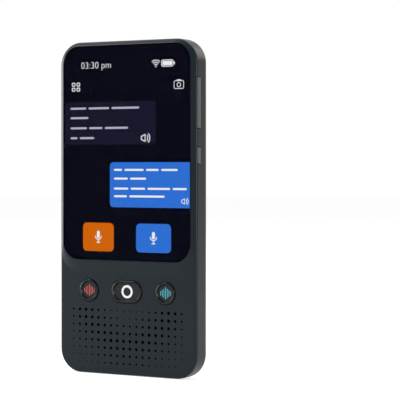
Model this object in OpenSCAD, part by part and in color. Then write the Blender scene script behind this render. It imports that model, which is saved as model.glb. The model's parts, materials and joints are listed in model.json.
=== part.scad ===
// Handheld voice translator, standing upright on its flat bottom end.
// +Z runs up along the height, the screen faces -Y and the camera faces +Y.
// Depths (d) are measured from the lower front panel towards the back.

/* [Body] */
// Width of the body, without the side keys
body_w = 67.5; // [64:0.5:72]
// Height of the body
body_h = 140; // [136:0.5:150]
// Thickness of the body, from the lower front panel to the flat of the back
body_t = 12.4; // [12:0.1:14]
// Radius of the body's four corners, seen from the front
corner_r = 10; // [9.5:0.1:11]
// Rounding of the front edge
front_edge_r = 1.0; // [0.9:0.05:1.1]
// Depth at which the straight side ends and the curved back starts
side_flat = 6.7; // [6.4:0.1:7]
// Exponent of the back edge's curve, where 2 is an ellipse
back_edge_power = 2.2; // [2:0.1:2.6]
// Wall of the back shell
shell_t = 1.4; // [1.2:0.1:1.5]
// Open seam between the front housing and the back shell
seam_gap = 0.12; // [0.08:0.02:0.2]

/* [Screen] */
// Width of the cover glass
glass_w = 62.9; // [61:0.1:64]
// Height of the cover glass
glass_h = 90.2; // [88:0.1:92]
// Height of the glass's bottom edge above the base
glass_z = 48; // [47.5:0.1:48.5]
// Thickness of the cover glass
glass_t = 0.8; // [0.7:0.05:0.9]
// Corner radius of the cover glass
glass_r = 7.8; // [6:0.1:9]
// How far the raised frame round the screen stands proud of the panel
frame_proud = 1.05; // [0.9:0.05:1.3]
// How far the glass lies below the frame's rim
glass_sunk = 0.15; // [0.05:0.05:0.3]

/* [Front buttons] */
// Height of the button row above the base
button_z = 35; // [34.5:0.1:35.5]
// Distance from the middle button to each outer one
button_pitch = 18.9; // [18:0.1:20]
// Diameter of a round cap, and height of the middle one
cap_d = 9.3; // [8.8:0.1:9.6]
// Width of the long middle cap
home_cap_w = 14.8; // [13:0.1:16]
// Gap round each cap in its opening
cap_gap = 0.3; // [0.2:0.05:0.4]
// How far the caps stand proud of the panel
cap_proud = 0.6; // [0.5:0.05:0.8]
// Travel of the front buttons
button_travel = 0.35; // [0.25:0.05:0.4]

/* [Speaker grille] */
// Columns of grille holes
grille_cols = 18; // [14:2:18]
// Rows of grille holes
grille_rows = 8; // [6:1:8]
// Distance between neighbouring holes
grille_pitch = 3.15; // [3:0.01:3.2]
// Height of the lowest row
grille_low_z = 4.8; // [4.6:0.1:5]
// Diameter of the largest holes, which lie along the wave
grille_hole_max = 1.5; // [1.3:0.05:1.6]
// Diameter of the smallest holes, far from the wave
grille_hole_min = 0.56; // [0.4:0.02:0.7]
// Row on which the wave's trough lies, counted from the top row
wave_trough_row = 5.5; // [4:0.1:6]
// How fast the wave climbs away from the middle
wave_rise = 0.092; // [0.06:0.002:0.1]

/* [Side keys] */
// Length of the volume rocker
volume_len = 20.7; // [18:0.1:22]
// Height of the volume rocker's middle
volume_z = 113.45; // [112:0.05:115]
// Length of the power key
power_len = 6.6; // [6:0.1:8]
// Height of the power key's middle
power_z = 91.8; // [90:0.1:93]
// Width of both keys along the body's thickness
key_w = 2.4; // [2:0.1:2.6]
// How far the keys stand proud of the side
key_proud = 0.5; // [0.4:0.05:0.6]

/* [Camera] */
// Height of the camera's axis
camera_z = 112; // [110:0.5:114]
// Diameter of the bump's foot
bump_foot_d = 25.7; // [24:0.1:27]
// Diameter of the bright trim ring
trim_d = 18.5; // [18:0.1:19]
// Height of the bump above the back
bump_h = 2.3; // [2:0.1:2.6]

/* [Connectors] */
// Sideways place of the headphone jack
jack_x = 12; // [11.5:0.1:12.5]
// Radius of the headphone jack's bore
jack_bore_r = 1.8; // [1.8:0.01:1.85]
// Depth of the headphone jack's bore
jack_bore_len = 12; // [11:0.5:12]
// Width of the notch round the jack in the shell's top edge
notch_w = 10.4; // [10:0.1:11]
// Depth of that notch
notch_depth = 1.3; // [1.2:0.05:1.3]

/* [Hidden] */

// Overall depth, from the screen frame's rim to the camera's trim ring
total_t = frame_proud + body_t + bump_h;
// Place of the lower front panel along Y
panel_y = frame_proud - total_t / 2;

// Corner centres, shared by every outline in the body
corner_x = body_w / 2 - corner_r;
corner_low = corner_r;
corner_high = body_h - corner_r;

// Steps in a quarter of a rounded edge, and sides of small round pieces
edge_steps = 5;
back_steps = 14;
round_steps = 10;
$fn = 48;

// A little extra for cuts that run past a face
cut = 0.5;

// Front housing
panel_t = 1.5;
frame_root = 0.4;
frame_sink = 0.05;
frame_foot = 42.2;
frame_top = 47.1;
frame_foot_r = 9;
frame_top_r = 8.3;
frame_inset = 0.55;
frame_draw = 1.4;
frame_curve = 1.3;
frame_steps = 5;
lip_inset = shell_t + 0.1;
lip_t = 1.2;
lip_end = 3.1;
upper_z = 45.8;
lcd_inset = 1.6;
lcd_gap = 0.2;
display_end = 2.1;
floor_start = 2.3;
boss_r = 1.6;
boss_end = 4.4;
boss_x = 27.9;
boss_zs = [9, 43.5, 80, 131];
pilot_r = 0.72;
pilot_start = 2.55;

// Posts that the main board rests on
post_r = 1;
post_end = 4.55;
post_x = 21.5;
post_zs = [101, 134.5];

// Front buttons, from the cap's face to the switch behind it
cap_pan = 0.85;
cap_rim = 0.8;
cap_pan_slope = 0.35;
cap_shoulder = 0.55;
cap_flange = 0.95;
flange_start = panel_t + 0.05;
flange_end = 2.15;
stem_r = 1.2;
stem_end = 3.0;
inlay_sunk = 0.02;
inlay_t = 0.36;
inlay_front = cap_pan - cap_proud - inlay_sunk;
inlay_seat = inlay_front + inlay_t;
switch_front = 3.4;
switch_w = 4.4;
plunger_r = 1.0;
plunger_end = 3.95;
plunger_hole_end = plunger_end + button_travel + 0.1;
plunger_gap = 0.15;

// Middle frame, a skirt inside the lip with a deck across its back
skirt_inset = 2.3;
skirt_t = 1.2;
skirt_start = 3.15;
deck_start = 8.0;
deck_step = 8.2;
deck_end = 9.4;
deck_inset = 3.65;
bay_gap = 0.5;
screw_clear_r = 0.9;
screw_head_r = 1.4;
screw_head_t = 0.7;
screw_shank_r = 0.7;

// Battery, as width, thickness and height
battery_size = [51, 5.5, 50];
battery_front = 3.4;
battery_z = 46;
battery_edge_r = 1.2;

// Boards and what sits on them
board_t = 0.8;
flex_t = 0.16;
main_board_d = post_end;
main_board_size = [52, 38];
main_board_z = 98;
button_board_d = 4.6;
button_board_size = [50, 11.5];
button_board_z = 30;
io_board_d = 6.45;
io_board_size = [46, 23.5];
io_board_z = 3.7;
can_wall = 0.2;
can_h = 1.6;
link_x = 2;
link_w = 12;
link_d = 3.12;
link_end = 0.5;
mic_t = 1.05;

// Loudspeaker
speaker_w = 38;
speaker_z0 = 8.9;
speaker_z1 = 28.2;
speaker_front = 2.0;
speaker_back = 6.2;
speaker_r = 3;
gasket_w = 2;
mesh_t = 0.1;

// Side keys
key_d = 0.6;
key_face_x = body_w / 2 + key_proud;
key_plate_x = 31.45;
key_plate_end = 4.65;
key_pocket_x = 30.9;
key_bevel = 0.35;
key_stem = 1.0;
key_stem_x = 30.3;
key_stem_d = 4.1;
key_slot_gap = 0.25;
rocker_rib_r = 0.45;
volume_switch_dz = 6.5;
side_plunger_x = 29.4;
side_plunger_r = 0.5;
side_switch_x = 28.6;
side_switch_size = [1.2, 1.4, 3];
side_hole_x = 29;
side_board_t = 0.5;

// Camera bump, from the inside out
window_seat = body_t + 1.1;
window_t = 0.9;
trim_wall = 0.6;
trim_bevel = 0.15;
bump_bore_r = 6.5;
camera_base = 8.6;
camera_base_end = 10;
barrel_r = 3.4;
barrel_end = 13.2;
barrel_mouth_r = 2.9;
lens_r = 2.3;
lens_seat = 11.6;
gasket_r = 5.8;

// Connectors
jack_d = 6.5;
jack_body = [6.2, 5, 12.1];
jack_top = body_h - notch_depth;
jack_plate_t = 1.35;
jack_plate_end = 9.3;
jack_board_gap = 0.3;
notch_end = 9.6;
usb_size = [8.94, 3.26, 7.3];
usb_wall = 0.3;
usb_back_wall = 0.8;
usb_gap = 0.2;
usb_d = 4.8;
usb_z = 0.9;
tongue_size = [6.7, 0.7];
tongue_sunk = 0.9;
mic_x = 13;
top_mic_x = -14;
mic_d = 5.8;
mic_hole_r = 0.5;

// ---------------------------------------------------------------- outlines

// Points of a quarter turn from angle a0, on a circle of radius r round c
function arc(c, r, a0) =
    [for (i = [0:round_steps]) c + r * [cos(a0 + 90 * i / round_steps), sin(a0 + 90 * i / round_steps)]];

// Rectangle from z0 to z1, centred on x = 0, with its own radii below and above
module rounded_rect(w, z0, z1, r_low, r_high) {
    polygon(concat(
        arc([w / 2 - r_high, z1 - r_high], r_high, 0),
        arc([-w / 2 + r_high, z1 - r_high], r_high, 90),
        arc([-w / 2 + r_low, z0 + r_low], r_low, 180),
        arc([w / 2 - r_low, z0 + r_low], r_low, 270)
    ));
}

// The body's outline, drawn in by an inset
module body_outline(inset) {
    rounded_rect(body_w - 2 * inset, inset, body_h - inset, corner_r - inset, corner_r - inset);
}

// The cover glass's outline, drawn in by an inset
module screen_outline(inset) {
    rounded_rect(glass_w - 2 * inset, glass_z + inset, glass_z + glass_h - inset,
                 glass_r - inset, glass_r - inset);
}

// Extrudes an outline drawn in X and Z from depth d0 to depth d1
module layer(d0, d1) {
    translate([0, panel_y + d1, 0])
        rotate([90, 0, 0])
            linear_extrude(d1 - d0)
                children();
}

// A block by its corner and size in X, depth and Z
module block(x, d, z, size) {
    translate([x, panel_y + d, z])
        cube(size);
}

// A block centred on x
module centred_block(x, d, z, size) {
    block(x - size[0] / 2, d, z, size);
}

// A round bar along the depth
module pin_y(x, z, r, d0, d1) {
    translate([x, panel_y + d0, z])
        rotate([-90, 0, 0])
            cylinder(r = r, h = d1 - d0);
}

// Turns a profile of radius and depth about an axis along the depth
module turned(x, z, angle = 360) {
    translate([x, panel_y, z])
        rotate([-90, 0, 0])
            rotate_extrude(angle = angle)
                children();
}

// A solid with the body's outline whose edge follows a profile of [inset, depth] points
module edged_body(profile) {
    first = profile[0][1];
    last = profile[len(profile) - 1][1];
    section = concat([[0, first]], [for (p = profile) [corner_r - p[0], p[1]]], [[0, last]]);
    for (corner = [0:3])
        translate([
            (corner == 0 || corner == 3) ? corner_x : -corner_x,
            panel_y,
            corner < 2 ? corner_low : corner_high
        ])
            rotate([-90, 0, 0])
                rotate([0, 0, 90 * corner])
                    rotate_extrude(angle = 90)
                        polygon(section);
    for (side = [-1, 1]) {
        translate([side * corner_x, panel_y, corner_low])
            linear_extrude(corner_high - corner_low)
                flip_x(side) polygon(section);
        translate([-corner_x, panel_y, side < 0 ? corner_low : corner_high])
            rotate([90, 0, 90])
                linear_extrude(2 * corner_x)
                    polygon([for (p = section) [p[1], side * p[0]]]);
    }
    block(-corner_x, first, corner_low, [2 * corner_x, last - first, corner_high - corner_low]);
}

// Mirrors an outline left to right where side is -1
module flip_x(side) {
    mirror([side < 0 ? 1 : 0, 0])
        children();
}

// Profile of a back edge that starts at side_flat, for a shell surface drawn in by t
function back_profile(t, start) = concat(
    [[t, start]],
    [for (i = [0:back_steps])
        let (a = 90 * i / back_steps)
        [t + (corner_r - t) * (1 - pow(cos(a), 2 / back_edge_power)),
         side_flat + (body_t - side_flat - t) * pow(sin(a), 2 / back_edge_power)]]
);

// A round-ended bar in X and Z
module stadium(x, z, length, width) {
    square_len = length - width;
    translate([x - width / 2, z - square_len / 2])
        square([width, square_len]);
    for (end = [-1, 1])
        translate([x, z + end * square_len / 2])
            circle(d = width);
}

// A round-ended bar lying along X
module flat_stadium(x, z, length, width) {
    square_len = length - width;
    translate([x - square_len / 2, z - width / 2])
        square([square_len, width]);
    for (end = [-1, 1])
        translate([x + end * square_len / 2, z])
            circle(d = width);
}

// ------------------------------------------------------------ front housing

// One level of the raised frame: its inset at the sides and top, and its bottom edge
module frame_level(d, inset, bottom, r_low) {
    layer(d, d + 0.01)
        rounded_rect(body_w - 2 * inset, bottom, body_h - inset, r_low, corner_r - inset);
}

// The frame round the screen, with a long soft slope down to the lower panel
module raised_frame() {
    levels = concat(
        [[frame_root, frame_inset, frame_foot, frame_foot_r]],
        [for (i = [0:frame_steps])
            let (t = i / frame_steps, climb = t * t * (3 - 2 * t))
            [frame_sink - (frame_proud + frame_sink) * climb,
             frame_inset + frame_draw * pow(t, frame_curve),
             frame_foot + (frame_top - frame_foot) * t,
             frame_foot_r + (frame_top_r - frame_foot_r) * t]]
    );
    for (i = [0:len(levels) - 2])
        hull() {
            frame_level(levels[i][0], levels[i][1], levels[i][2], levels[i][3]);
            frame_level(levels[i + 1][0], levels[i + 1][1], levels[i + 1][2], levels[i + 1][3]);
        }
}

// Distance of a hole from the wave, along the wave's normal, in pitches
function wave_distance(col, row) =
    let (from_mid = col - (grille_cols - 1) / 2)
    abs(row + 1 - wave_trough_row + wave_rise * from_mid * from_mid)
        / sqrt(1 + pow(2 * wave_rise * from_mid, 2));

// Diameter of a grille hole, or 0 where the pattern has faded out
function hole_d(col, row) =
    let (
        far = wave_distance(col, row),
        from_edge = min(col, grille_cols - 1 - col),
        fade = from_edge == 0 ? 0.8 : (from_edge == 1 ? 0.95 : 1),
        near_d = fade * (grille_hole_max - 0.22 * far),
        far_d = max(grille_hole_min, 0.8 - 0.4 * (far - 2.9))
    )
    far > 4.6 ? 0 : (far < 2.9 ? near_d : far_d);

// The grille's holes, sized by their distance from one wave
module grille_holes() {
    for (col = [0:grille_cols - 1])
        for (row = [0:grille_rows - 1])
            if (hole_d(col, row) > 0)
                pin_y((col - (grille_cols - 1) / 2) * grille_pitch,
                      grille_low_z + (grille_rows - 1 - row) * grille_pitch,
                      hole_d(col, row) / 2, -cut, panel_t + cut, $fn = 16);
}

// Openings of the three front buttons, wider than the caps by an extra gap
module button_openings(extra, d0, d1) {
    for (side = [-1, 1])
        pin_y(side * button_pitch, button_z, cap_d / 2 + extra, d0, d1);
    layer(d0, d1)
        flat_stadium(0, button_z, home_cap_w + 2 * extra, cap_d + 2 * extra);
}

// Pockets in the right side for both keys, from depth d0 to d1
module key_pockets(x0, x1, d0, d1) {
    for (key = [[volume_z, volume_len], [power_z, power_len]])
        block(x0, d0, key[0] - key[1] / 2 - key_slot_gap, [x1 - x0, d1 - d0, key[1] + 2 * key_slot_gap]);
}

// Screw bosses or holes at the eight screw places
module at_screws(r, d0, d1) {
    for (side = [-1, 1])
        for (z = boss_zs)
            pin_y(side * boss_x, z, r, d0, d1);
}

module front_housing() color([0.16, 0.18, 0.19]) {
    edge = concat(
        [for (i = [0:edge_steps])
            let (a = 90 * i / edge_steps)
            [front_edge_r * (1 - sin(a)), front_edge_r * (1 - cos(a))]],
        [[lip_inset, front_edge_r], [lip_inset, lip_end]]
    );
    difference() {
        union() {
            difference() {
                union() {
                    edged_body(edge);
                    raised_frame();
                }
                // hollow behind the lower panel, inside the lip
                layer(panel_t, lip_end + cut)
                    rounded_rect(body_w - 2 * (lip_inset + lip_t), lip_inset + lip_t, upper_z,
                                 corner_r - lip_inset - lip_t, 1);
            }
            // screw bosses and the posts that the main board rests on
            at_screws(boss_r, 1, boss_end);
            for (side = [-1, 1])
                for (z = post_zs)
                    pin_y(side * post_x, z, post_r, lip_end - cut, post_end);
        }
        // pocket for the glass, then the one for the display behind it
        layer(-frame_proud - cut, 0)
            screen_outline(-0.05);
        layer(-cut, floor_start)
            screen_outline(lcd_inset - lcd_gap);
        // slot in the floor for the display's flex
        centred_block(0, floor_start - cut, 131, [14, lip_end - floor_start + 2 * cut, 2]);
        button_openings(cap_gap, -cut, panel_t + cut);
        grille_holes();
        at_screws(pilot_r, pilot_start, boss_end + cut);
        key_pockets(key_pocket_x, body_w / 2 + 1, key_d - 0.1, lip_end + cut);
        // the jack's nose plate comes up through the lip
        centred_block(jack_x, front_edge_r + seam_gap, body_h - lip_inset - lip_t,
            [notch_w - 0.2, lip_end, lip_t + cut]);
    }
}

// ------------------------------------------------------------ screen stack

module screen_glass() color([0.03, 0.03, 0.06]) {
    front = -frame_proud + glass_sunk;
    layer(front, front + glass_t)
        screen_outline(0);
}

module glass_adhesive() color([0.1, 0.1, 0.1]) {
    layer(-frame_proud + glass_sunk + glass_t, 0)
        difference() {
            screen_outline(0.2);
            screen_outline(lcd_inset - lcd_gap);
        }
}

module display_panel() color([0.05, 0.06, 0.1]) {
    layer(-frame_proud + glass_sunk + glass_t, display_end)
        screen_outline(lcd_inset);
}

module display_flex() color([0.75, 0.45, 0.1]) {
    centred_block(0, display_end, 100, [10, 0.16, 32]);
    centred_block(0, display_end, 131.6, [10, main_board_d - display_end, 0.4]);
}

// ------------------------------------------------------------ front buttons

// Half section of a round cap: shallow pan, rounded shoulder, neck and flange
cap_profile = concat(
    [[0, cap_pan - cap_proud], [cap_d / 2 - cap_rim - cap_pan_slope, cap_pan - cap_proud],
     [cap_d / 2 - cap_rim, -cap_proud]],
    [for (i = [0:edge_steps])
        let (a = 90 * i / edge_steps)
        [cap_d / 2 - cap_shoulder * (1 - sin(a)), -cap_proud + cap_shoulder * (1 - cos(a))]],
    [[cap_d / 2, flange_start], [cap_d / 2 + cap_flange, flange_start],
     [cap_d / 2 + cap_flange, flange_end], [0, flange_end]]
);

// Stem behind a cap, down to its switch
module cap_stem(x) {
    pin_y(x, button_z, stem_r, flange_end - 0.1, stem_end);
}

module round_cap(x) {
    difference() {
        union() {
            turned(x, button_z) polygon(cap_profile);
            cap_stem(x);
        }
        wave_bars(x, -cap_proud - cut, inlay_seat);
    }
}

// Seven upright bars, tallest in the middle
module wave_bars(x, d0, d1) {
    bar_heights = [1.8, 2.9, 3.9, 5.2, 3.9, 2.9, 1.8];
    bar_pitch = 0.8;
    bar_w = 0.38;
    layer(d0, d1)
        for (i = [0:6])
            stadium(x + (i - 3) * bar_pitch, button_z, bar_heights[i], bar_w, $fn = 16);
}

// The round mark on the middle cap
module home_ring(d0, d1) {
    outer = 2.75;
    inner = 1.8;
    layer(d0, d1)
        difference() {
            translate([0, button_z]) circle(r = outer);
            translate([0, button_z]) circle(r = inner);
        }
}

module left_button() color([0.15, 0.16, 0.17]) round_cap(-button_pitch);
module right_button() color([0.15, 0.16, 0.17]) round_cap(button_pitch);

module home_button() color([0.15, 0.16, 0.17]) {
    half = (home_cap_w - cap_d) / 2;
    difference() {
        union() {
            for (side = [-1, 1]) {
                translate([side * half, panel_y, button_z])
                    rotate([-90, 0, 0])
                        rotate([0, 0, -90 * side])
                            rotate_extrude(angle = 180)
                                polygon(cap_profile);
                translate([-half, panel_y, button_z])
                    rotate([90, 0, 90])
                        linear_extrude(2 * half)
                            polygon([for (p = cap_profile) [p[1], side * p[0]]]);
            }
            cap_stem(0);
        }
        home_ring(-cap_proud - cut, inlay_seat);
    }
}

module left_wave_inlay() color([0.75, 0.3, 0.3]) wave_bars(-button_pitch, inlay_front, inlay_seat);
module right_wave_inlay() color([0.4, 0.72, 0.78]) wave_bars(button_pitch, inlay_front, inlay_seat);
module home_ring_inlay() color([0.92, 0.93, 0.93]) home_ring(inlay_front, inlay_seat);

// Moving plunger of the dome switch behind a front button
module front_plunger(x) {
    pin_y(x, button_z, plunger_r, stem_end, plunger_end);
}

module left_switch_plunger() color([0.85, 0.82, 0.75]) front_plunger(-button_pitch);
module home_switch_plunger() color([0.85, 0.82, 0.75]) front_plunger(0);
module right_switch_plunger() color([0.85, 0.82, 0.75]) front_plunger(button_pitch);

module front_switches() color([0.2, 0.2, 0.22])
    for (x = [-button_pitch, 0, button_pitch])
        difference() {
            centred_block(x, switch_front, button_z - switch_w / 2,
                [switch_w, button_board_d - switch_front, switch_w]);
            pin_y(x, button_z, plunger_r + plunger_gap, switch_front - cut, plunger_hole_end);
        }

module button_board() color([0.05, 0.3, 0.18]) {
    centred_block(0, button_board_d, button_board_z,
        [button_board_size[0], board_t, button_board_size[1]]);
}

// ---------------------------------------------------------------- side keys

// A side key: rounded cap outside, retaining plate inside
module side_key(z, length, plate_x1) {
    neck_x = plate_x1 - 0.1;
    mid_d = key_d + key_w / 2;
    back_d = key_d + key_w;
    // cap with a bevelled face, its section drawn in X and depth
    translate([0, 0, z - length / 2])
        linear_extrude(length)
            translate([0, panel_y])
                polygon([
                    [neck_x, key_d], [key_face_x - key_bevel, key_d], [key_face_x, key_d + key_bevel],
                    [key_face_x, back_d - key_bevel], [key_face_x - key_bevel, back_d], [neck_x, back_d]
                ]);
    block(key_plate_x, mid_d, z - length / 2 + 0.1,
        [plate_x1 - key_plate_x, key_plate_end - mid_d, length - 0.2]);
}

// Square stem from a key's plate to its switch
module key_stem_at(z) {
    block(key_stem_x, key_stem_d - key_stem / 2, z - key_stem / 2,
        [key_plate_x - key_stem_x + 0.1, key_stem, key_stem]);
}

module power_key() color([0.3, 0.31, 0.32]) {
    side_key(power_z, power_len, 32.25);
    key_stem_at(power_z);
}

module volume_rocker() color([0.3, 0.31, 0.32]) {
    side_key(volume_z, volume_len, 32.05);
    for (side = [-1, 1])
        key_stem_at(volume_z + side * volume_switch_dz);
    // the rounded rib that the rocker rolls on
    pin_y(key_plate_x, volume_z, rocker_rib_r, key_d + key_w / 2 + 0.1, key_plate_end - 0.05);
}

// A round pin along X, in line with the side keys' stems
module pin_x(x0, x1, z, r) {
    translate([x0, panel_y + key_stem_d, z])
        rotate([0, 90, 0])
            cylinder(r = r, h = x1 - x0);
}

// Moving plunger of a side switch
module side_plunger(z) {
    pin_x(side_plunger_x, key_stem_x, z, side_plunger_r);
}

module power_switch_plunger() color([0.85, 0.82, 0.75]) side_plunger(power_z);
module volume_switch_plungers() color([0.85, 0.82, 0.75])
    for (side = [-1, 1])
        side_plunger(volume_z + side * volume_switch_dz);

module side_switches() color([0.2, 0.2, 0.22])
    for (z = [power_z, volume_z - volume_switch_dz, volume_z + volume_switch_dz])
        difference() {
            block(side_switch_x, key_stem_d - side_switch_size[1] / 2, z - side_switch_size[2] / 2,
                side_switch_size);
            pin_x(side_hole_x, key_stem_x, z, side_plunger_r + plunger_gap);
        }

module side_key_board() color([0.75, 0.45, 0.1]) {
    block(side_switch_x - side_board_t, 3.2, 86.5, [side_board_t, 1.7, 38]);
}

// ------------------------------------------------------------- middle frame

module mid_frame() color([0.12, 0.13, 0.14]) {
    difference() {
        union() {
            difference() {
                edged_body([
                    [skirt_inset, skirt_start], [skirt_inset, deck_step],
                    [deck_inset, deck_step], [deck_inset, deck_end]
                ]);
                layer(skirt_start - cut, deck_start)
                    body_outline(skirt_inset + skirt_t);
            }
            at_screws(boss_r, boss_end + 0.05, deck_start + 0.1);
        }
        // bay for the battery, and windows for the camera and the jack
        centred_block(0, deck_start - cut, battery_z - bay_gap,
            [battery_size[0] + 2 * bay_gap, 3, battery_size[2] + 2 * bay_gap]);
        centred_block(0, deck_start - cut, camera_z - camera_base / 2 - bay_gap,
            [camera_base + 2 * bay_gap, 3, camera_base + 2 * bay_gap]);
        centred_block(jack_x, skirt_start - cut, 124, [notch_w, 8, 16]);
        // gaps in the skirt for the side keys, the charging port and the microphones
        key_pockets(30, 32, skirt_start - cut, 5.2);
        centred_block(0, skirt_start - cut, 2, [10, 4.2, 2]);
        centred_block(mic_x, skirt_start - cut, 2, [5, 4.5, 2]);
        centred_block(top_mic_x, skirt_start - cut, 136, [5, 4.5, 2]);
        // screw holes with sunk heads
        at_screws(screw_clear_r, boss_end - cut, deck_end);
        at_screws(screw_head_r + 0.1, deck_end - screw_head_t - 0.1, deck_end + cut);
    }
}

module chassis_screws() color([0.55, 0.56, 0.58]) {
    head_end = deck_end - 0.08;
    head_start = head_end - screw_head_t;
    slot = [1.6, 0.3];
    for (side = [-1, 1])
        for (z = boss_zs)
            difference() {
                union() {
                    pin_y(side * boss_x, z, screw_shank_r, pilot_start + 0.05, head_start + 0.1);
                    pin_y(side * boss_x, z, screw_head_r, head_start, head_end);
                }
                // cross slots in the head
                centred_block(side * boss_x, head_end - slot[1], z - slot[1] / 2, [slot[0], 1, slot[1]]);
                centred_block(side * boss_x, head_end - slot[1], z - slot[0] / 2, [slot[1], 1, slot[0]]);
            }
}

// ------------------------------------------------------------- electronics

module main_board() color([0.05, 0.3, 0.18]) {
    difference() {
        centred_block(0, main_board_d, main_board_z, [main_board_size[0], board_t, main_board_size[1]]);
        centred_block(jack_x, main_board_d - cut, 124.2, [jack_body[0] + 2 * jack_board_gap, 2, 20]);
    }
}

module shield_cans() color([0.75, 0.76, 0.78]) {
    front = main_board_d + board_t;
    // each can as x, z, width and height
    for (can = [[-23.5, 103.5, 17, 24], [6.5, 103.5, 17, 18.5]])
        difference() {
            block(can[0], front, can[1], [can[2], can_h, can[3]]);
            block(can[0] + can_wall, front - cut, can[1] + can_wall,
                [can[2] - 2 * can_wall, can_h - can_wall + cut, can[3] - 2 * can_wall]);
        }
}

module io_board() color([0.05, 0.3, 0.18]) {
    centred_block(0, io_board_d, io_board_z, [io_board_size[0], board_t, io_board_size[1]]);
}

module board_link_flex() color([0.75, 0.45, 0.1]) {
    low_z = 40;
    high_z = 101;
    block(link_x, link_d, low_z, [link_w, flex_t, high_z - low_z + link_end]);
    block(link_x, link_d, high_z, [link_w, main_board_d - link_d, link_end]);
    block(link_x, link_d, low_z, [link_w, button_board_d - link_d, link_end]);
}

module wifi_antenna() color([0.8, 0.5, 0.15]) {
    block(-24, deck_end, 121, [18, 0.12, 12]);
}

module battery() color([0.7, 0.71, 0.73]) {
    w = battery_size[0];
    depth = battery_size[1];
    r = battery_edge_r;
    translate([0, panel_y + battery_front + depth / 2, battery_z])
        linear_extrude(battery_size[2]) {
            square([w - 2 * r, depth], center = true);
            square([w, depth - 2 * r], center = true);
            for (sx = [-1, 1])
                for (sy = [-1, 1])
                    translate([sx * (w / 2 - r), sy * (depth / 2 - r)])
                        circle(r = r);
        }
}

module battery_tape() color([0.9, 0.9, 0.88]) {
    tape_size = [5, battery_front - lip_end, 42];
    for (x = [-20, 16])
        block(x, lip_end, 50, tape_size);
}

module battery_socket() color([0.9, 0.88, 0.8]) {
    block(-12, main_board_d + board_t, main_board_z + 0.6, [7, 1.2, 3.4]);
}

module battery_lead() color([0.15, 0.15, 0.16]) {
    top = battery_z + battery_size[2];
    block(-10.5, 6, top, [4, 0.5, main_board_z + 0.6 - top]);
}

module loudspeaker() color([0.1, 0.1, 0.11]) {
    layer(speaker_front, speaker_back)
        rounded_rect(speaker_w, speaker_z0, speaker_z1, speaker_r, speaker_r);
}

module speaker_gasket() color([0.25, 0.25, 0.26]) {
    layer(panel_t + mesh_t, speaker_front)
        difference() {
            rounded_rect(speaker_w, speaker_z0, speaker_z1, speaker_r, speaker_r);
            rounded_rect(speaker_w - 2 * gasket_w, speaker_z0 + gasket_w, speaker_z1 - gasket_w,
                         speaker_r - 1, speaker_r - 1);
        }
}

module speaker_mesh() color([0.06, 0.06, 0.07]) {
    difference() {
        layer(panel_t, panel_t + mesh_t)
            rounded_rect(59, 3.2, 29.2, 6.5, 1);
        at_screws(boss_r + 0.15, 0, 3);
    }
}

// ------------------------------------------------------------------ camera

module camera_module() color([0.1, 0.1, 0.11]) {
    front = main_board_d + board_t;
    difference() {
        union() {
            centred_block(0, front, camera_z - camera_base / 2,
                [camera_base, camera_base_end - front, camera_base]);
            pin_y(0, camera_z, barrel_r, camera_base_end - 0.2, barrel_end);
        }
        // the barrel's mouth, stepped down to the lens
        pin_y(0, camera_z, barrel_mouth_r, barrel_end - 0.6, barrel_end + cut);
        pin_y(0, camera_z, lens_r, lens_seat, barrel_end + cut);
    }
}

// Front lens element, a shallow dome in the barrel's mouth
module camera_lens() color([0.15, 0.25, 0.5]) {
    dome = 0.7;
    edge_t = 0.4;
    sphere_r = (lens_r * lens_r + dome * dome) / (2 * dome);
    turned(0, camera_z)
        polygon(concat(
            [[0, lens_seat], [lens_r, lens_seat]],
            [for (i = [0:edge_steps])
                let (r = lens_r * (1 - i / edge_steps))
                [r, lens_seat + edge_t + sqrt(sphere_r * sphere_r - r * r) - (sphere_r - dome)]]
        ));
}

module camera_gasket() color([0.05, 0.05, 0.05]) {
    inner = barrel_r + 0.1;
    turned(0, camera_z)
        translate([inner, camera_base_end])
            square([gasket_r - inner, window_seat - camera_base_end]);
}

module camera_window() color([0.02, 0.02, 0.03]) {
    edge = 0.15;
    r = trim_d / 2 - trim_wall - 0.02;
    turned(0, camera_z)
        polygon([
            [0, window_seat], [r, window_seat], [r, window_seat + window_t - edge],
            [r - edge, window_seat + window_t], [0, window_seat + window_t]
        ]);
}

module camera_trim_ring() color([0.72, 0.74, 0.76]) {
    outer = trim_d / 2;
    inner = outer - trim_wall;
    top = body_t + bump_h;
    turned(0, camera_z)
        polygon([
            [inner, window_seat], [outer, window_seat], [outer, top - trim_bevel],
            [outer - trim_bevel, top], [inner + trim_bevel, top], [inner, top - trim_bevel]
        ]);
}

// ---------------------------------------------------------------- back shell

// Section of the camera bump: a soft foot that flares in to the trim ring
module bump_section() {
    foot = bump_foot_d / 2;
    top = trim_d / 2 + 0.25;
    height = bump_h - 0.15;
    steps = 10;
    polygon(concat(
        [[0, body_t - shell_t / 2], [foot, body_t - shell_t / 2]],
        [for (i = [0:steps])
            let (t = i / steps)
            [foot - (foot - top) * t, body_t + height * (t * t * (3 - 2 * t) * 0.55 + t * 0.45)]],
        [[0, body_t + height]]
    ));
}

// Open notch in the top edge, so that the shell passes over the jack
module jack_notch() {
    centred_block(jack_x, front_edge_r - cut, 134, [notch_w, notch_end - front_edge_r + cut, 10]);
}

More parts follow.
